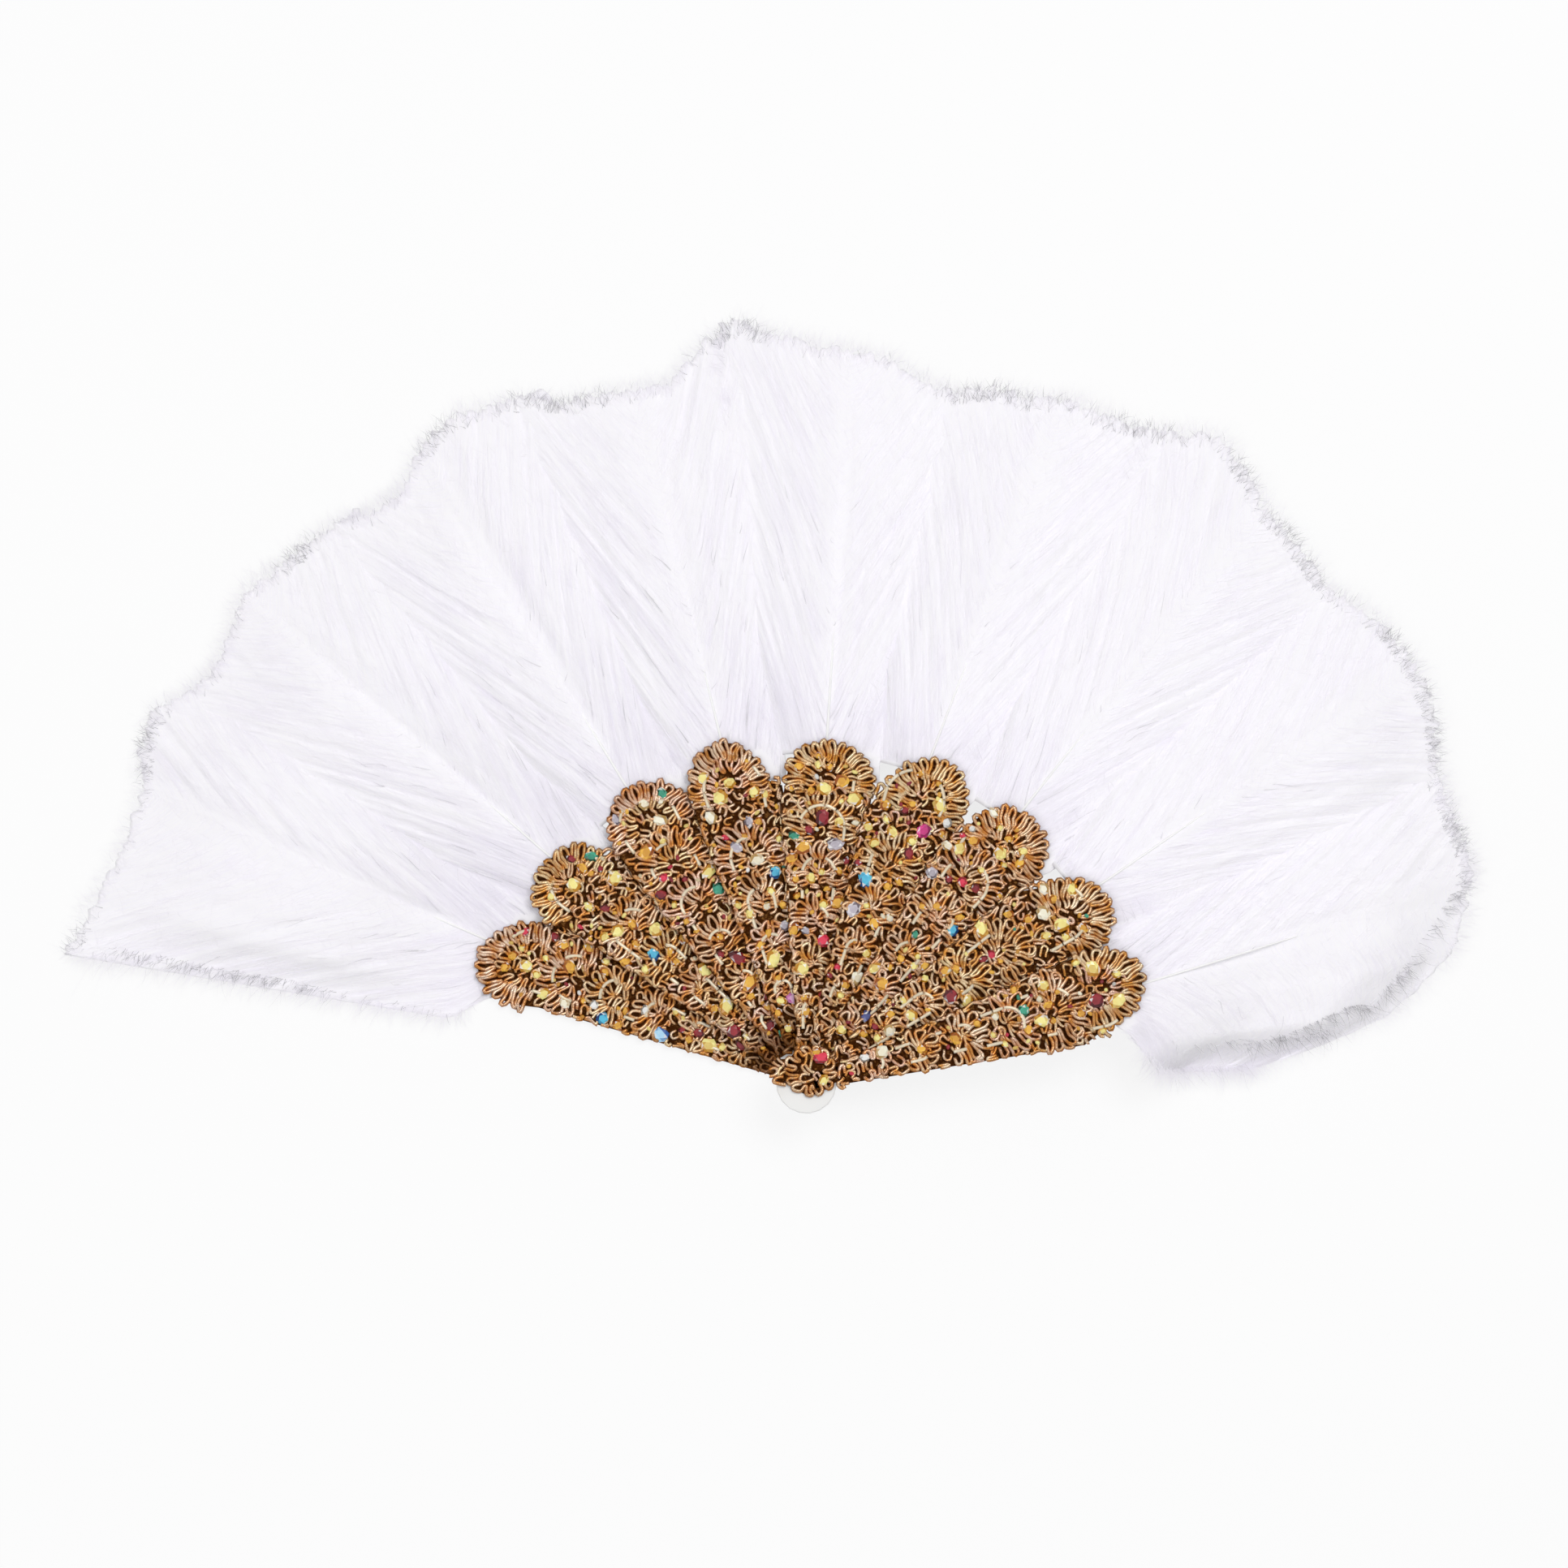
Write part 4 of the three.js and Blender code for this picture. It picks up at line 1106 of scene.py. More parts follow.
class FAN_OT_beadwork(bpy.types.Operator):
    """Sew the beadwork panels: backing, bullion loops, cut beads and stones"""

    bl_idname = "fan.beadwork"
    bl_label = "Beadwork Panels"

    def execute(self, context):
        look = context.scene.feather_fan.beadwork
        gold, pale = bullion_finish(look), cut_bead_finish(look)
        glass, cloth = stone_finish(), backing_finish(look)
        slot = "gold_bullion"
        for leaf in LEAVES:
            rng = np.random.default_rng(BEADWORK_SEED + leaf.index)
            stones = self.setting(leaf, look, rng)
            cut = self.cloth_outlines(leaf)
            backing = self.backing(leaf, look, cut).build("buckram", leaf, cloth, slot)
            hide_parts(leaf.panel)
            sewn_on = [
                self.bullion(leaf, look, stones, rng).build("bullion", leaf, gold, slot),
                self.cut_beads(leaf, look, rng).build("cut_beads", leaf, pale, slot),
                self.stones(leaf, look, stones, rng).build("stones", leaf, glass, slot),
            ]
        return {"FINISHED"}

    def cloth_outlines(self, leaf):
        """Edges of the backing cloth; the last panel's also covers the rivet."""
        outlines = [panel_outline(leaf)]
        if leaf.last:
            for centre, radius in ((COVER_CENTRE, COVER_RADIUS), (COVER_EAR, COVER_EAR_RADIUS)):
                outlines.append(ring(centre, radius - COVER_CLOTH_INSET)[0][:-1])
            half, foot = panel_half(PANEL_START) - CLOTH_INSET, COVER_CENTRE[1]
            neck = [[half, foot], [half, PANEL_START], [-half, PANEL_START], [-half, foot]]
            outlines.append(np.array(neck))
        return outlines

    def cut_size(self, outlines):
        """Width and length of the cloth as it was cut, and its area."""
        wide, long = np.ptp(np.concatenate(outlines), axis=0)
        corners = [outline.T for outline in outlines]
        area = sum(abs(np.sum(x * np.roll(y, -1) - y * np.roll(x, -1))) / 2 for x, y in corners)
        return (float(wide), float(long)), float(area)

    def backing(self, leaf, look, outlines):
        shape = Shape()
        for outline in outlines:
            count = len(outline)
            low = np.column_stack([outline, np.full(count, leaf.panel_floor)])
            high = np.column_stack([outline, np.full(count, leaf.panel_floor + look.cloth)])
            j = np.arange(count)
            nxt = (j + 1) % count
            shape.add(np.concatenate([low, high]), np.stack([j, nxt, nxt + count, j + count], -1))
            shape.add(high, j[None])
            shape.add(low, j[None, ::-1])
        return shape

    def setting(self, leaf, look, rng):
        """Where the stones sit, as (x, y, radius, name): the large ones first, small ones strewn between."""
        taken = []
        for name, places in LARGE_STONES.items():
            for number, y, x in places:
                if number == leaf.number:
                    taken.append((mm(x), mm(y), rng.uniform(*LARGE_STONE_RADIUS), name))
        if leaf.last:
            for x, y, radius, name in COVER_STONES:
                taken.append((COVER_CENTRE[0] + mm(x), COVER_CENTRE[1] + mm(y), mm(radius), name))
        names, weights = zip(*SMALL_STONES)
        weights = np.array(weights) / sum(weights)
        for _ in range(look.beads * TRIES_PER_BEAD):
            if len(taken) >= look.beads:
                break
            y = math.sqrt(rng.uniform(STREWN_FROM ** 2, STREWN_TO ** 2))
            wide = panel_half(y) - STREWN_MARGIN
            if y > LOBE_CENTRE:
                wide = math.sqrt(max(STREWN_IN_LOBE ** 2 - (y - LOBE_CENTRE) ** 2, 0))
            x = rng.uniform(-1, 1) * max(wide, mm(0.5))
            size = rng.uniform(*(SMALL_STONE_RADIUS if rng.uniform() < SMALL_STONE_SHARE else BEAD_RADIUS))
            if all((x - a) ** 2 + (y - b) ** 2 > (size + r) ** 2 for a, b, r, _ in taken):
                taken.append((x, y, size, names[rng.choice(len(names), p=weights)]))
        return taken

    def bullion(self, leaf, look, stones, rng):
        """Loops along the lobe and the shells, a course inside each, and hooks over what is left bare."""
        shape, laid = Shape(), []

        def sew(flat, lift, wire):
            flat = hand_sewn(flat, leaf)
            laid.append(flat)
            z = self.wire_height(leaf, look, stones, flat, wire, lift)
            tone = self.wire_tone(leaf, flat, rng)
            tube(shape, np.column_stack([flat, z]), wire, WIRE_SIDES, tone, WIRE_SQUAT)

        for row, (tip, radius) in enumerate(shells(leaf)):
            reach = min(look.loop_length * rng.uniform(0.94, 1.06), radius * LOOP_SHARE)
            form = (rng.uniform(0.9, 1.0), 1.0, rng.uniform(-22, 22), 0.0) if row else leaf.lobe
            line, way = horseshoe(tip, radius, SCALLOP_LEG, reach / 2 + look.wire * 0.7, form)
            depth = np.minimum(reach, LOOP_SHARE * panel_half(line[:, 1]))
            line = line + way * ((reach - depth) / 2)[:, None]
            pitch = look.loop_pitch * (1.0 if row else LOBE_PITCH_SHARE)
            flat, phase = meander(line, way, pitch, depth, rng)
            sew(flat, (SHELL_LIFT if row else LOBE_LIFT) + mm(0.08) * np.sin(phase * 0.5), look.wire)
            inner, course = radius - reach + INNER_GAP, min(INNER_MOST, radius - reach)
            if course > INNER_LEAST:
                line, way = horseshoe(tip - reach + INNER_GAP, inner, SCALLOP_LEG, course / 2, form)
                flat, phase = meander(line, way, look.loop_pitch * INNER_PITCH_SHARE, course, rng)
                sew(flat, INNER_LIFT + mm(0.1) * np.sin(phase * 0.37), look.wire * 0.9)
        if leaf.last:
            cover = ring(COVER_CENTRE, COVER_RADIUS - COVER_RING_INSET)
            flat, phase = meander(*cover, look.loop_pitch, COVER_LOOP, rng)
            sew(flat, mm(0.1) * np.sin(phase * 0.5), look.wire)
        self.hooks(leaf, look, laid, sew, rng)
        return shape

    def wire_height(self, leaf, look, stones, flat, wire, lift):
        """Height of a wire's middle: it lies on the cloth, and dips under the stones."""
        z = leaf.panel_floor + look.cloth + wire * WIRE_REST + lift + np.zeros(len(flat))
        for x, y, size, _ in stones:
            apart = np.hypot(flat[:, 0] - x, flat[:, 1] - y) / size
            z = z - STONE_DIP * (1 - smooth(apart, 0.5, 0.95)) * (size > SMALL_STONE_RADIUS[0])
        return np.maximum(z, leaf.panel_floor + wire * WIRE_LEAST)

    def wire_tone(self, leaf, flat, rng):
        """A wire's own tone, uneven along it, and painted shade near the rivet on the left, where the panels
        lie lowest.
        """
        stretch = rng.uniform(0.70, 1.12, max(2, len(flat) // 9))
        tone = np.interp(np.linspace(0, 1, len(flat)), np.linspace(0, 1, len(stretch)), stretch)
        # Painted shade near the rivet on the first sticks, which lie under the others
        if leaf.index < SHADED_STICKS:
            tone = tone * between(ROOT_SHADE, 1.0, smooth(flat[:, 1], ROOT_SHADE_FROM, ROOT_SHADE_TO))
        return np.column_stack([tone, tone * rng.uniform(0.93, 1.05), tone * rng.uniform(0.85, 1.12)])

    def cloth_spots(self, leaf, rng):
        """Places on the cloth where a hook could be sewn."""
        along = np.arange(PANEL_START, LOBE_TIP, SPOT_STEP)
        aside = np.arange(-LOBE_RADIUS, LOBE_RADIUS, SPOT_STEP)
        y, x = np.meshgrid(along, aside)
        shoulder, _, _, shift = leaf.lobe
        inset = np.where((x < 0) | leaf.last, SPOTS_INSET, -SPOTS_OVER) * smooth(y, NECK_FROM, NECK_TO)
        in_lobe = np.hypot(x - mm(shift), y - LOBE_CENTRE) < SPOTS_IN_LOBE * shoulder
        inside = np.where(y < LOBE_CENTRE, np.abs(x) < panel_half(y) - inset, in_lobe)
        spots = [np.column_stack([x[inside], y[inside]])]
        if leaf.last:
            for centre, radius in ((COVER_CENTRE, COVER_RADIUS), (COVER_EAR, COVER_EAR_RADIUS)):
                turn = rng.uniform(0, math.tau, COVER_SPOTS)
                out = (radius - COVER_CLOTH_INSET) * np.sqrt(rng.uniform(0, 0.9, COVER_SPOTS))
                spots.append(bearing(turn) * out[:, None] + centre)
        return np.concatenate(spots)

    def hairpin(self, rng):
        """One hook in plan: a leg, a tight bend and a leg back."""
        leg, bend = rng.uniform(*HOOK_LEG), rng.uniform(*HOOK_BEND)
        steps = max(3, int(leg / HOOK_STEP))
        bending = np.linspace(0.15, 3.0, HOOK_BEND_STEPS)
        turned = np.concatenate([np.zeros(steps), bending, np.full(steps, math.pi)])
        heading = rng.uniform(0, math.tau) + turned * rng.choice([-1, 1])
        straight = np.full(steps, leg / steps)
        size = np.concatenate([straight, np.full(HOOK_BEND_STEPS, bend * 0.45), straight])
        return np.cumsum(bearing(heading) * size[:, None], 0)

    def hooks(self, leaf, look, laid, sew, rng):
        """Hairpins of wire sewn over the barest places left on the cloth."""
        spots = self.cloth_spots(leaf, rng)

        def apart(line):
            gap = spots[:, None] - line[None]
            return np.min(np.hypot(gap[..., 0], gap[..., 1]), 1)

        bare = np.min([apart(line) for line in laid], 0)
        for _ in range(look.hooks):
            barest = np.argmax(bare * rng.uniform(0.75, 1.0, len(bare)))
            if bare[barest] < BARE_ENOUGH:
                break
            flat = self.hairpin(rng)
            flat += spots[barest] - flat.mean(0)
            on_blade = (flat[:, 1] > PANEL_START) & (flat[:, 1] < LOBE_CENTRE)
            near_lobe = smooth(flat[:, 1], NECK_FROM, LOBE_CENTRE)
            left = panel_half(flat[:, 1]) - look.wire - HOOKS_INSET * near_lobe
            right = left + (0 if leaf.last else HOOKS_OVER) * near_lobe
            flat[:, 0] = np.where(on_blade, np.clip(flat[:, 0], -left, right), flat[:, 0])
            sew(flat, rng.uniform(*HOOK_LIFT), look.wire * rng.uniform(0.82, 0.98))
            bare = np.minimum(bare, apart(flat))

    def cut_beads(self, leaf, look, rng):
        """Lines of pale cut beads inside each scallop, with some threads left bare."""
        shape = Shape()
        height = np.full(CUT_BEAD_STEPS, leaf.panel_floor + look.cloth + CUT_BEAD_LIFT)
        for tip, radius in shells(leaf):
            reach = min(look.loop_length, radius * LOOP_SHARE)
            if radius - reach < CUT_BEAD_ROOM:
                continue
            inside = radius - reach + CUT_BEAD_INSET
            line, _ = horseshoe(tip - reach + CUT_BEAD_INSET, inside, CUT_BEAD_LEG, 0)
            run = run_along(line)
            start = 0.0
            while start + CUT_BEAD_ROOM < run[-1]:
                size = rng.uniform(*CUT_BEAD_LENGTH)
                where = np.linspace(start, min(start + size, run[-1]), CUT_BEAD_STEPS)
                if rng.uniform() > CUT_BEADS_BARE:
                    path = np.column_stack([along_line(where, run, line), height])
                    tube(shape, path, CUT_BEAD_RADIUS, 6, np.full(3, rng.uniform(0.8, 1.0)))
                start += size + CUT_BEAD_GAP
        return shape

    def stones(self, leaf, look, stones, rng):
        shape = Shape()
        floor = leaf.panel_floor + look.cloth
        for x, y, size, name in stones:
            bright, deep = (np.array(colour) for colour in STONE_COLOURS[name])
            turn = rng.uniform(0, 3)
            if size > BEAD_RADIUS[1]:
                place = (x, y, floor + mm(0.2))
                gem(shape, place, size, rng.uniform(1.0, 1.45), turn, (bright, deep), rng)
            else:
                shade = between(deep, bright, rng.uniform(0.3, 1.0))
                place = (x, y, floor + mm(1.0))
                bead(shape, place, min(size, BEAD_MOST), shade, rng.uniform(1.0, 1.7), turn)
        return shape


# Plumes

# Where grey tufts, painted shade between the hair tips, show along the rim: (degrees to the left of the
# middle stick, half their width in degrees)
RIM_TUFTS = (
    (83, 2), (66.5, 2.6), (47.6, 1.4), (33, 1.8), (24, 4), (9, 2.2), (-12, 4), (-24, 3), (-32, 1.5),
    (-39, 4), (-50, 2), (-57, 4), (-66, 2), (-71, 1.5), (-77, 1.6), (-82, 2.4), (-86, 1.2),
)
# Share of an outer plume's rim hairs that stand along its free side
FREE_SIDE_HAIRS = {0: 0.55, LAST: 0.2}
# At the lower right the tufts lie this far in, under a wider fringe: along the plume, and across it
FRINGE_ALONG, FRINGE_ACROSS = 0.11, 0.2
# Length of the grey hairs, of the pale ones along the rim and of those along the sides
GREY_HAIR, PALE_HAIR, SIDE_HAIR = (mm(2), mm(4.6)), (mm(3), mm(7.5)), (mm(4), mm(10))
HAIR_WIDTH_SHARE = 0.6
DOWN_ROWS, DOWN_COLUMNS = 100, 121
QUILL_STEPS, QUILL_SIDES = 70, 10
QUILL_BUTT_RADIUS, QUILL_TIP_RADIUS = mm(0.62), mm(0.16)
BARB_STEPS, HAIR_STEPS = 8, 4
# Least height of the down above the floor, and of barbs and hairs; what they keep clear of stick and lobe
DOWN_CLEAR, HAIR_CLEAR = mm(0.2), mm(0.3)
STICK_CLEAR, LOBE_CLEAR = mm(0.15), mm(0.3)
# How far a barb is sunk at its root, in the down and on the bare quill, and how far its tip stands off
ROOT_SUNK, ROOT_BARE, TIP_STANDS = mm(-0.3), mm(0.05), mm(0.4)
FUZZ_STANDS = mm(0.7)


class FAN_OT_plumes(bpy.types.Operator):
    """Grow the quills and the marabou plumes"""

    bl_idname = "fan.plumes"
    bl_label = "Quills and Plumes"

    def execute(self, context):
        look = context.scene.feather_fan.plumes
        horn, marabou, soft = quill_finish(look), barb_finish(look), down_finish(look)
        for leaf in LEAVES:
            rng = np.random.default_rng(PLUME_SEED + leaf.index)
            quill = self.quill(leaf).build("quill_shaft", leaf, horn, "quill")
            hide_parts(f"quill_{leaf.number}")
            down = self.down(leaf, rng).build("down", leaf, soft, "feather")
            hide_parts(f"plume_{leaf.number}")
            plume = self.barbs(leaf, look, rng).build("barbs", leaf, marabou, "feather")
            for piece in (quill, down, plume):
                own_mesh(piece)
        return {"FINISHED"}

    def quill(self, leaf):
        shape = Shape()
        end = float(leaf.plume_reach(0.0)) - QUILL_SHORT_OF_TIP
        y = np.linspace(QUILL_BUTT, end, QUILL_STEPS)
        share = (y - QUILL_BUTT) / (end - QUILL_BUTT)
        path = np.column_stack([np.zeros(QUILL_STEPS), y, leaf.quill_height(y)])
        radius = between(QUILL_BUTT_RADIUS, QUILL_TIP_RADIUS, share ** 0.8)
        radius[0] *= 0.5
        tube(shape, path, radius, QUILL_SIDES)
        return shape

    def down(self, leaf, rng):
        """The soft body of the plume under its barbs: closed, thin at the rim."""
        t = np.linspace(leaf.left_most, leaf.right_most, DOWN_COLUMNS)[None]
        ragged = np.convolve(rng.uniform(-1, 1, DOWN_COLUMNS + 2), (0.2, 0.6, 0.2), "valid")[None]
        inward = UNDER_NEXT * leaf.right_side(t)
        out = np.linspace(0.0, 1.0, DOWN_ROWS)[:, None]
        share = out * (0.972 + 0.014 * ragged + inward) - inward
        wavy = np.sin(out * 19 + leaf.index) + np.sin(out * 43 + 2 * leaf.index)
        t = t * (1 + 0.04 * wavy * smooth(np.abs(t), 1.0, LAP))
        x, y = leaf.plume_point(share, t)
        furrow = leaf.grooves(share, t) * smooth(share, 0.1, 0.3)
        top = leaf.plume_top(share, t) + furrow
        low = np.minimum(leaf.plume_bottom(share, t) + mm(0.3) + 0.9 * furrow, top - mm(0.3))
        low = between(low, top - mm(0.15), smooth(share, 0.74, 0.95))
        low = np.maximum(low, DOWN_CLEAR)
        top = np.maximum(top, low + mm(0.12))
        flat = leaf.beside_stick(share, t)
        low = between(low, leaf.level + STICK_CLEAR, flat)
        top = between(top, leaf.panel_floor - STICK_CLEAR, flat)
        lay = np.stack([leaf.barb_start(share, t) * PLUME_LONG, share * PLUME_LONG], -1)
        return closed_sheet(np.stack([x, y, low], -1), np.stack([x, y, top], -1), lay)

    def barbs(self, leaf, look, rng):
        shape = Shape()
        self.long_barbs(shape, leaf, look, rng)
        self.surface_fuzz(shape, leaf, look, rng)
        self.rim_fuzz(shape, leaf, look, rng)
        self.side_fuzz(shape, leaf, look, rng)
        return shape

    def settle(self, leaf, share, t, proud):
        """Points on the plume's upper side, lifted by proud, and kept clear of the panel and the floor."""
        x, y = leaf.plume_point(share, t)
        furrow = leaf.grooves(share, t) * smooth(share, 0.1, 0.3)
        top = leaf.plume_top(np.clip(share, 0, 1), t) + furrow
        z = between(top, leaf.panel_floor - STICK_CLEAR, leaf.beside_stick(share, t)) + proud
        shift = leaf.lobe[3]
        under_lobe = np.hypot(x - mm(shift), y - LOBE_CENTRE) < LOBE_RADIUS + mm(1)
        z = np.where(under_lobe, np.minimum(z, leaf.panel_floor - LOBE_CLEAR), z)
        return np.stack([x, y, np.maximum(z, HAIR_CLEAR)], -1)

    def long_barbs(self, shape, leaf, look, rng):
        """Barbs that lie in locks and sweep outwards from the quill. Most come up out of the down, and
        a few, parted from the rest, lie in shade."""
        count, locks = look.barbs, look.locks
        lock = rng.integers(0, locks, count)
        in_lock = rng.uniform(0, 1, count) < 0.6

        def draw(low, high, spread):
            lone = rng.uniform(low, high, count)
            shared = rng.uniform(low, high, locks)[lock] + rng.normal(0, spread, count)
            return np.where(in_lock, shared, lone)

        t = np.clip(draw(-LAP, LAP, 0.05), leaf.right_most, leaf.left_most)
        share = np.clip(draw(-0.02, 0.98, 0.03), np.where(t < -0.2, -0.02, 0.04), 1.0)
        lift = np.clip(draw(0.0, 1.0, 0.1), 0, 1)
        start = leaf.barb_start(share, t)
        root = np.maximum(rng.uniform(-0.06, 0.02, count), np.where(t < -0.2, -0.06, 0.01))
        first = np.maximum(np.maximum(share - rng.uniform(0.1, 0.34, count), start), root)
        parted = rng.uniform(0, 1, count) < PARTED[leaf.index] * (1 - smooth(share, 0.3, 0.8))
        first = np.where(parted, np.maximum(first, share - rng.uniform(0.04, 0.12, count)), first)
        first = np.minimum(first, share - 0.02)
        u = np.linspace(0, 1, BARB_STEPS)[None]
        here = first[:, None] + (share - first)[:, None] * u
        sway = np.sin(u * rng.uniform(2, 6, (count, 1)) + rng.uniform(0, ANY_PHASE, (count, 1)))
        aside = np.sign(t)[:, None] * leaf.barb_side(here, start[:, None])
        here_t = aside + sway * u * rng.uniform(0.0, 0.05, (count, 1))
        rooted = between(ROOT_BARE, ROOT_SUNK, smooth(first, 0.08, 0.2))[:, None]
        proud = between(rooted, ROOT_BARE + TIP_STANDS * lift[:, None], smooth(u, 0, 0.8))
        shaded, lit = rng.uniform(0.72, 0.90, count), rng.uniform(0.97, 1.0, count)
        width = look.barb_width * np.where(parted, 2.3, 1.0)[:, None]
        path = self.settle(leaf, here, here_t, proud)
        self.strips(shape, path, width, np.where(parted, shaded, lit), rng)

    def surface_fuzz(self, shape, leaf, look, rng):
        """Short soft hairs that lie all ways over the plume."""
        count = look.hairs
        u = np.linspace(0, 1, HAIR_STEPS)[None]
        t = rng.uniform(leaf.right_most, leaf.left_most, (count, 1)) + rng.normal(0, 0.1, (count, 1)) * u
        t = t + rng.normal(0, 0.05, (count, 1)) * u ** 2
        share = rng.uniform(0.0, 0.96, (count, 1)) + rng.uniform(0.01, 0.06, (count, 1)) * u
        proud = FUZZ_STANDS * rng.uniform(0.1, 1.0, (count, 1)) * u
        tone = rng.uniform(0.95, 1.0, count)
        path = self.settle(leaf, share, t, proud)
        self.strips(shape, path, look.barb_width * HAIR_WIDTH_SHARE, tone, rng)

    def rim_fuzz(self, shape, leaf, look, rng):
        """Fine hairs along the rim and the free sides: grey ones in tufts, painted as shade between the
        tips, and pale ones as a thin fringe.
        At the lower right the tufts lie further in, and the fringe is wider."""
        side = leaf.free_side
        count = look.rim_hairs * (2 if side else 1)
        t = rng.uniform(-1.0, 1.0, count)
        turn = np.degrees(leaf.turn + leaf.plume_turn(1.0, t))
        tuft = np.max([np.exp(-((turn - at) / half) ** 2) for at, half in RIM_TUFTS], 0)
        free = np.arange(count) < count * FREE_SIDE_HAIRS.get(leaf.index, 0.0)
        along_side = rng.uniform(0.04, 0.97, count)
        side_tuft = smooth(along_side, 0.3, 0.45) * (1 - smooth(along_side, 0.8, 0.95))
        # Grey hairs are painted shade between the hair tips, most of them in the tufts
        grey = rng.uniform(0, 1, count) < 0.05 + 0.7 * np.where(free, side_tuft, tuft)
        edge = np.where(grey, rng.uniform(0.935, 0.978, count), rng.uniform(0.94, 0.985, count))
        tufted = rng.uniform(0.9, 0.965, count) - (FRINGE_ACROSS if leaf.last else 0.0)
        t = np.where(free, side * np.where(grey, tufted, rng.uniform(0.95, 1.0, count)), t)
        low_right, turned_in = smooth(-turn, 68, 76), smooth(-turn, 79, 82)
        edge = edge - FRINGE_ALONG * grey * low_right * (1 - turned_in)
        inner = np.where(free, t, t + FRINGE_ACROSS * grey * turned_in)
        edge = edge * (leaf.plume_reach(t) - PLUME_ROOT) / (leaf.plume_reach(inner) - PLUME_ROOT)
        share = np.where(free, along_side, edge)
        heading = self.outwards(leaf, share, inner, free, side) + rng.normal(0, 0.4, count)
        short = rng.uniform(*GREY_HAIR, count) * (1 + 0.8 * low_right)
        long = np.where(grey, short, rng.uniform(*PALE_HAIR, count))
        tone = np.where(grey, rng.uniform(0.3, 0.75, count), rng.uniform(0.96, 1.0, count))
        self.fine_hairs(shape, leaf, look, (share, inner), heading, long, tone, rng)

    def side_fuzz(self, shape, leaf, look, rng):
        """White hairs along both sides of the plume. They soften the edge of the down."""
        count = look.side_hairs
        side = rng.choice((-1.0, 1.0), count)
        share = rng.uniform(0.06, 0.95, count)
        t = side * (np.where(side > 0, leaf.left_most, -leaf.right_most) - rng.uniform(0, 0.07, count))
        heading = self.outwards(leaf, share, t, np.full(count, True), side) + rng.normal(0, 0.35, count)
        duller = rng.uniform(0, 1, count) < 0.12
        tone = np.where(duller, rng.uniform(0.7, 0.9, count), rng.uniform(0.96, 1.0, count))
        long = rng.uniform(*SIDE_HAIR, count)
        self.fine_hairs(shape, leaf, look, (share, t), heading, long, tone, rng)

    def fine_hairs(self, shape, leaf, look, roots, heading, long, tone, rng):
        """Hairs that start at points of the plume and bend a little on their way."""
        count = len(heading)
        u = np.linspace(0, 1, HAIR_STEPS)[None]
        heading = heading[:, None] + rng.normal(0, 0.5, count)[:, None] * u
        step = bearing(heading) * (long / (HAIR_STEPS - 1))[:, None, None]
        flat = np.stack(leaf.plume_point(*roots), -1)[:, None] + np.cumsum(step, 1) - step[:, :1]
        lift = rng.uniform(mm(0.1), mm(0.5), (count, 1)) + mm(0.4) * rng.normal(0, 1, (count, 1)) * u
        z = np.maximum(leaf.plume_top(*roots)[:, None] + lift, HAIR_CLEAR)
        path = np.concatenate([flat, z[..., None]], -1)
        self.strips(shape, path, look.barb_width * HAIR_WIDTH_SHARE, tone, rng)

    def outwards(self, leaf, share, t, free, side):
        """Heading of a hair that points out of the rim, or out of the free side and forward."""
        def along(ahead, aside):
            near = np.stack(leaf.plume_point(share - ahead, t - aside), -1)
            far = np.stack(leaf.plume_point(share + ahead, t + aside), -1)
            return unit(far - near)

        rim, forward = along(0, 0.02), along(0.02, 0)
        from_rim = np.stack([rim[:, 1], -rim[:, 0]], -1)
        from_side = np.stack([-forward[:, 1], forward[:, 0]], -1) * np.reshape(side, (-1, 1))
        out = np.where(free[:, None], from_side + 0.5 * forward, from_rim)
        return np.arctan2(out[:, 1], out[:, 0])

    def strips(self, shape, path, width, tone, rng):
        """Each barb or hair as a thin tapering strip of one tone, turned its own way."""
        count, stations = path.shape[:2]
        forward = unit(np.gradient(path, axis=1))
        roll = rng.uniform(-0.45, 0.45, (count, 1))
        up = np.stack([np.sin(roll), np.zeros_like(roll), np.cos(roll)], -1)
        side = unit(np.cross(forward, up))
        u = np.linspace(0, 1, stations)
        half = 0.5 * width * rng.uniform(0.7, 1.25, (count, 1)) * (1 - 0.88 * u[None] ** 1.4)
        points = np.stack([path - side * half[..., None], path + side * half[..., None]], 2)
        strip = np.arange(stations - 1) * 2
        cell = np.stack([strip, strip + 1, strip + 3, strip + 2], -1)
        faces = (np.arange(count) * stations * 2)[:, None, None] + cell[None]
        tint = np.repeat(tone, cell.size)[:, None]
        shape.add(points, faces.reshape(-1, 4), None, tint)


class FAN_PT_panel(bpy.types.Panel):
    """Sizes and colours of the feather fan"""

    bl_idname = "FAN_PT_panel"
    bl_label = "Feather Fan"
    bl_space_type = "VIEW_3D"
    bl_region_type = "UI"
    bl_category = "Feather Fan"

    def draw(self, context):
        look = context.scene.feather_fan
        groups = (
            ("fan.stage", look.stage),
            ("fan.sticks", look.sticks),
            ("fan.ribbon", None),
            ("fan.beadwork", look.beadwork),
            ("fan.plumes", look.plumes),
        )
        for operator, group in groups:
            box = self.layout.box()
            box.operator(operator)
            for name in getattr(group, "__annotations__", {}):
                box.prop(group, name)


CLASSES = (
    FanBeadwork, FanPlumes, FanSticks, FanStage, FanLook,
    FAN_OT_stage, FAN_OT_sticks, FAN_OT_ribbon, FAN_OT_beadwork, FAN_OT_plumes, FAN_PT_panel,
)


def register():
    for each in CLASSES:
        bpy.utils.register_class(each)
    bpy.types.Scene.feather_fan = PointerProperty(
        type=FanLook, name="Feather fan", description="Looks of the fan",
    )


def unregister():
    del bpy.types.Scene.feather_fan
    for each in reversed(CLASSES):
        bpy.utils.unregister_class(each)


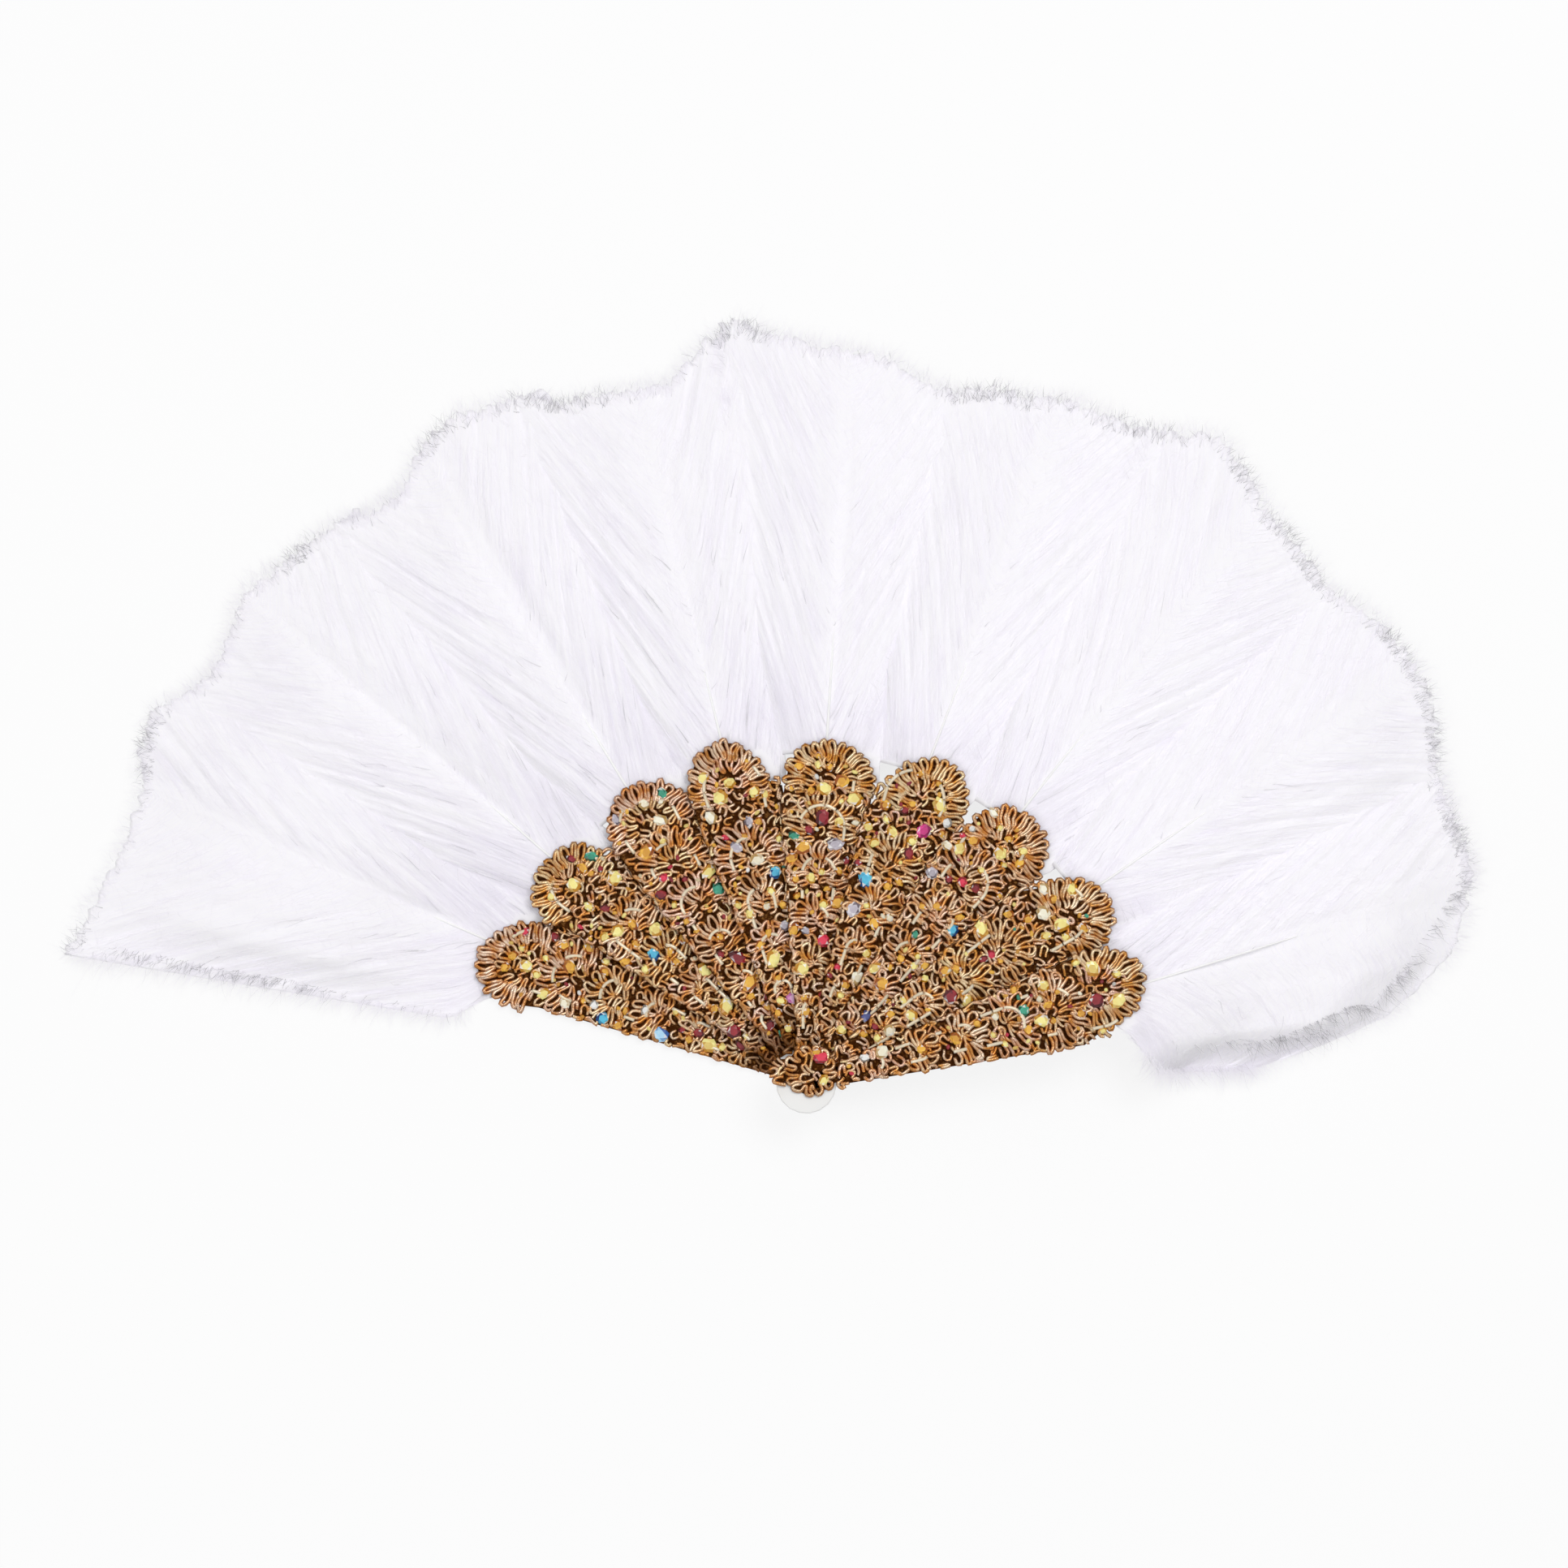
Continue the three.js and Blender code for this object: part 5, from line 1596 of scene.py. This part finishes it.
def main():
    register()
    bpy.ops.fan.stage()
    bpy.ops.fan.sticks()
    bpy.ops.fan.ribbon()
    bpy.ops.fan.beadwork()
    bpy.ops.fan.plumes()


if __name__ == "__main__":
    main()
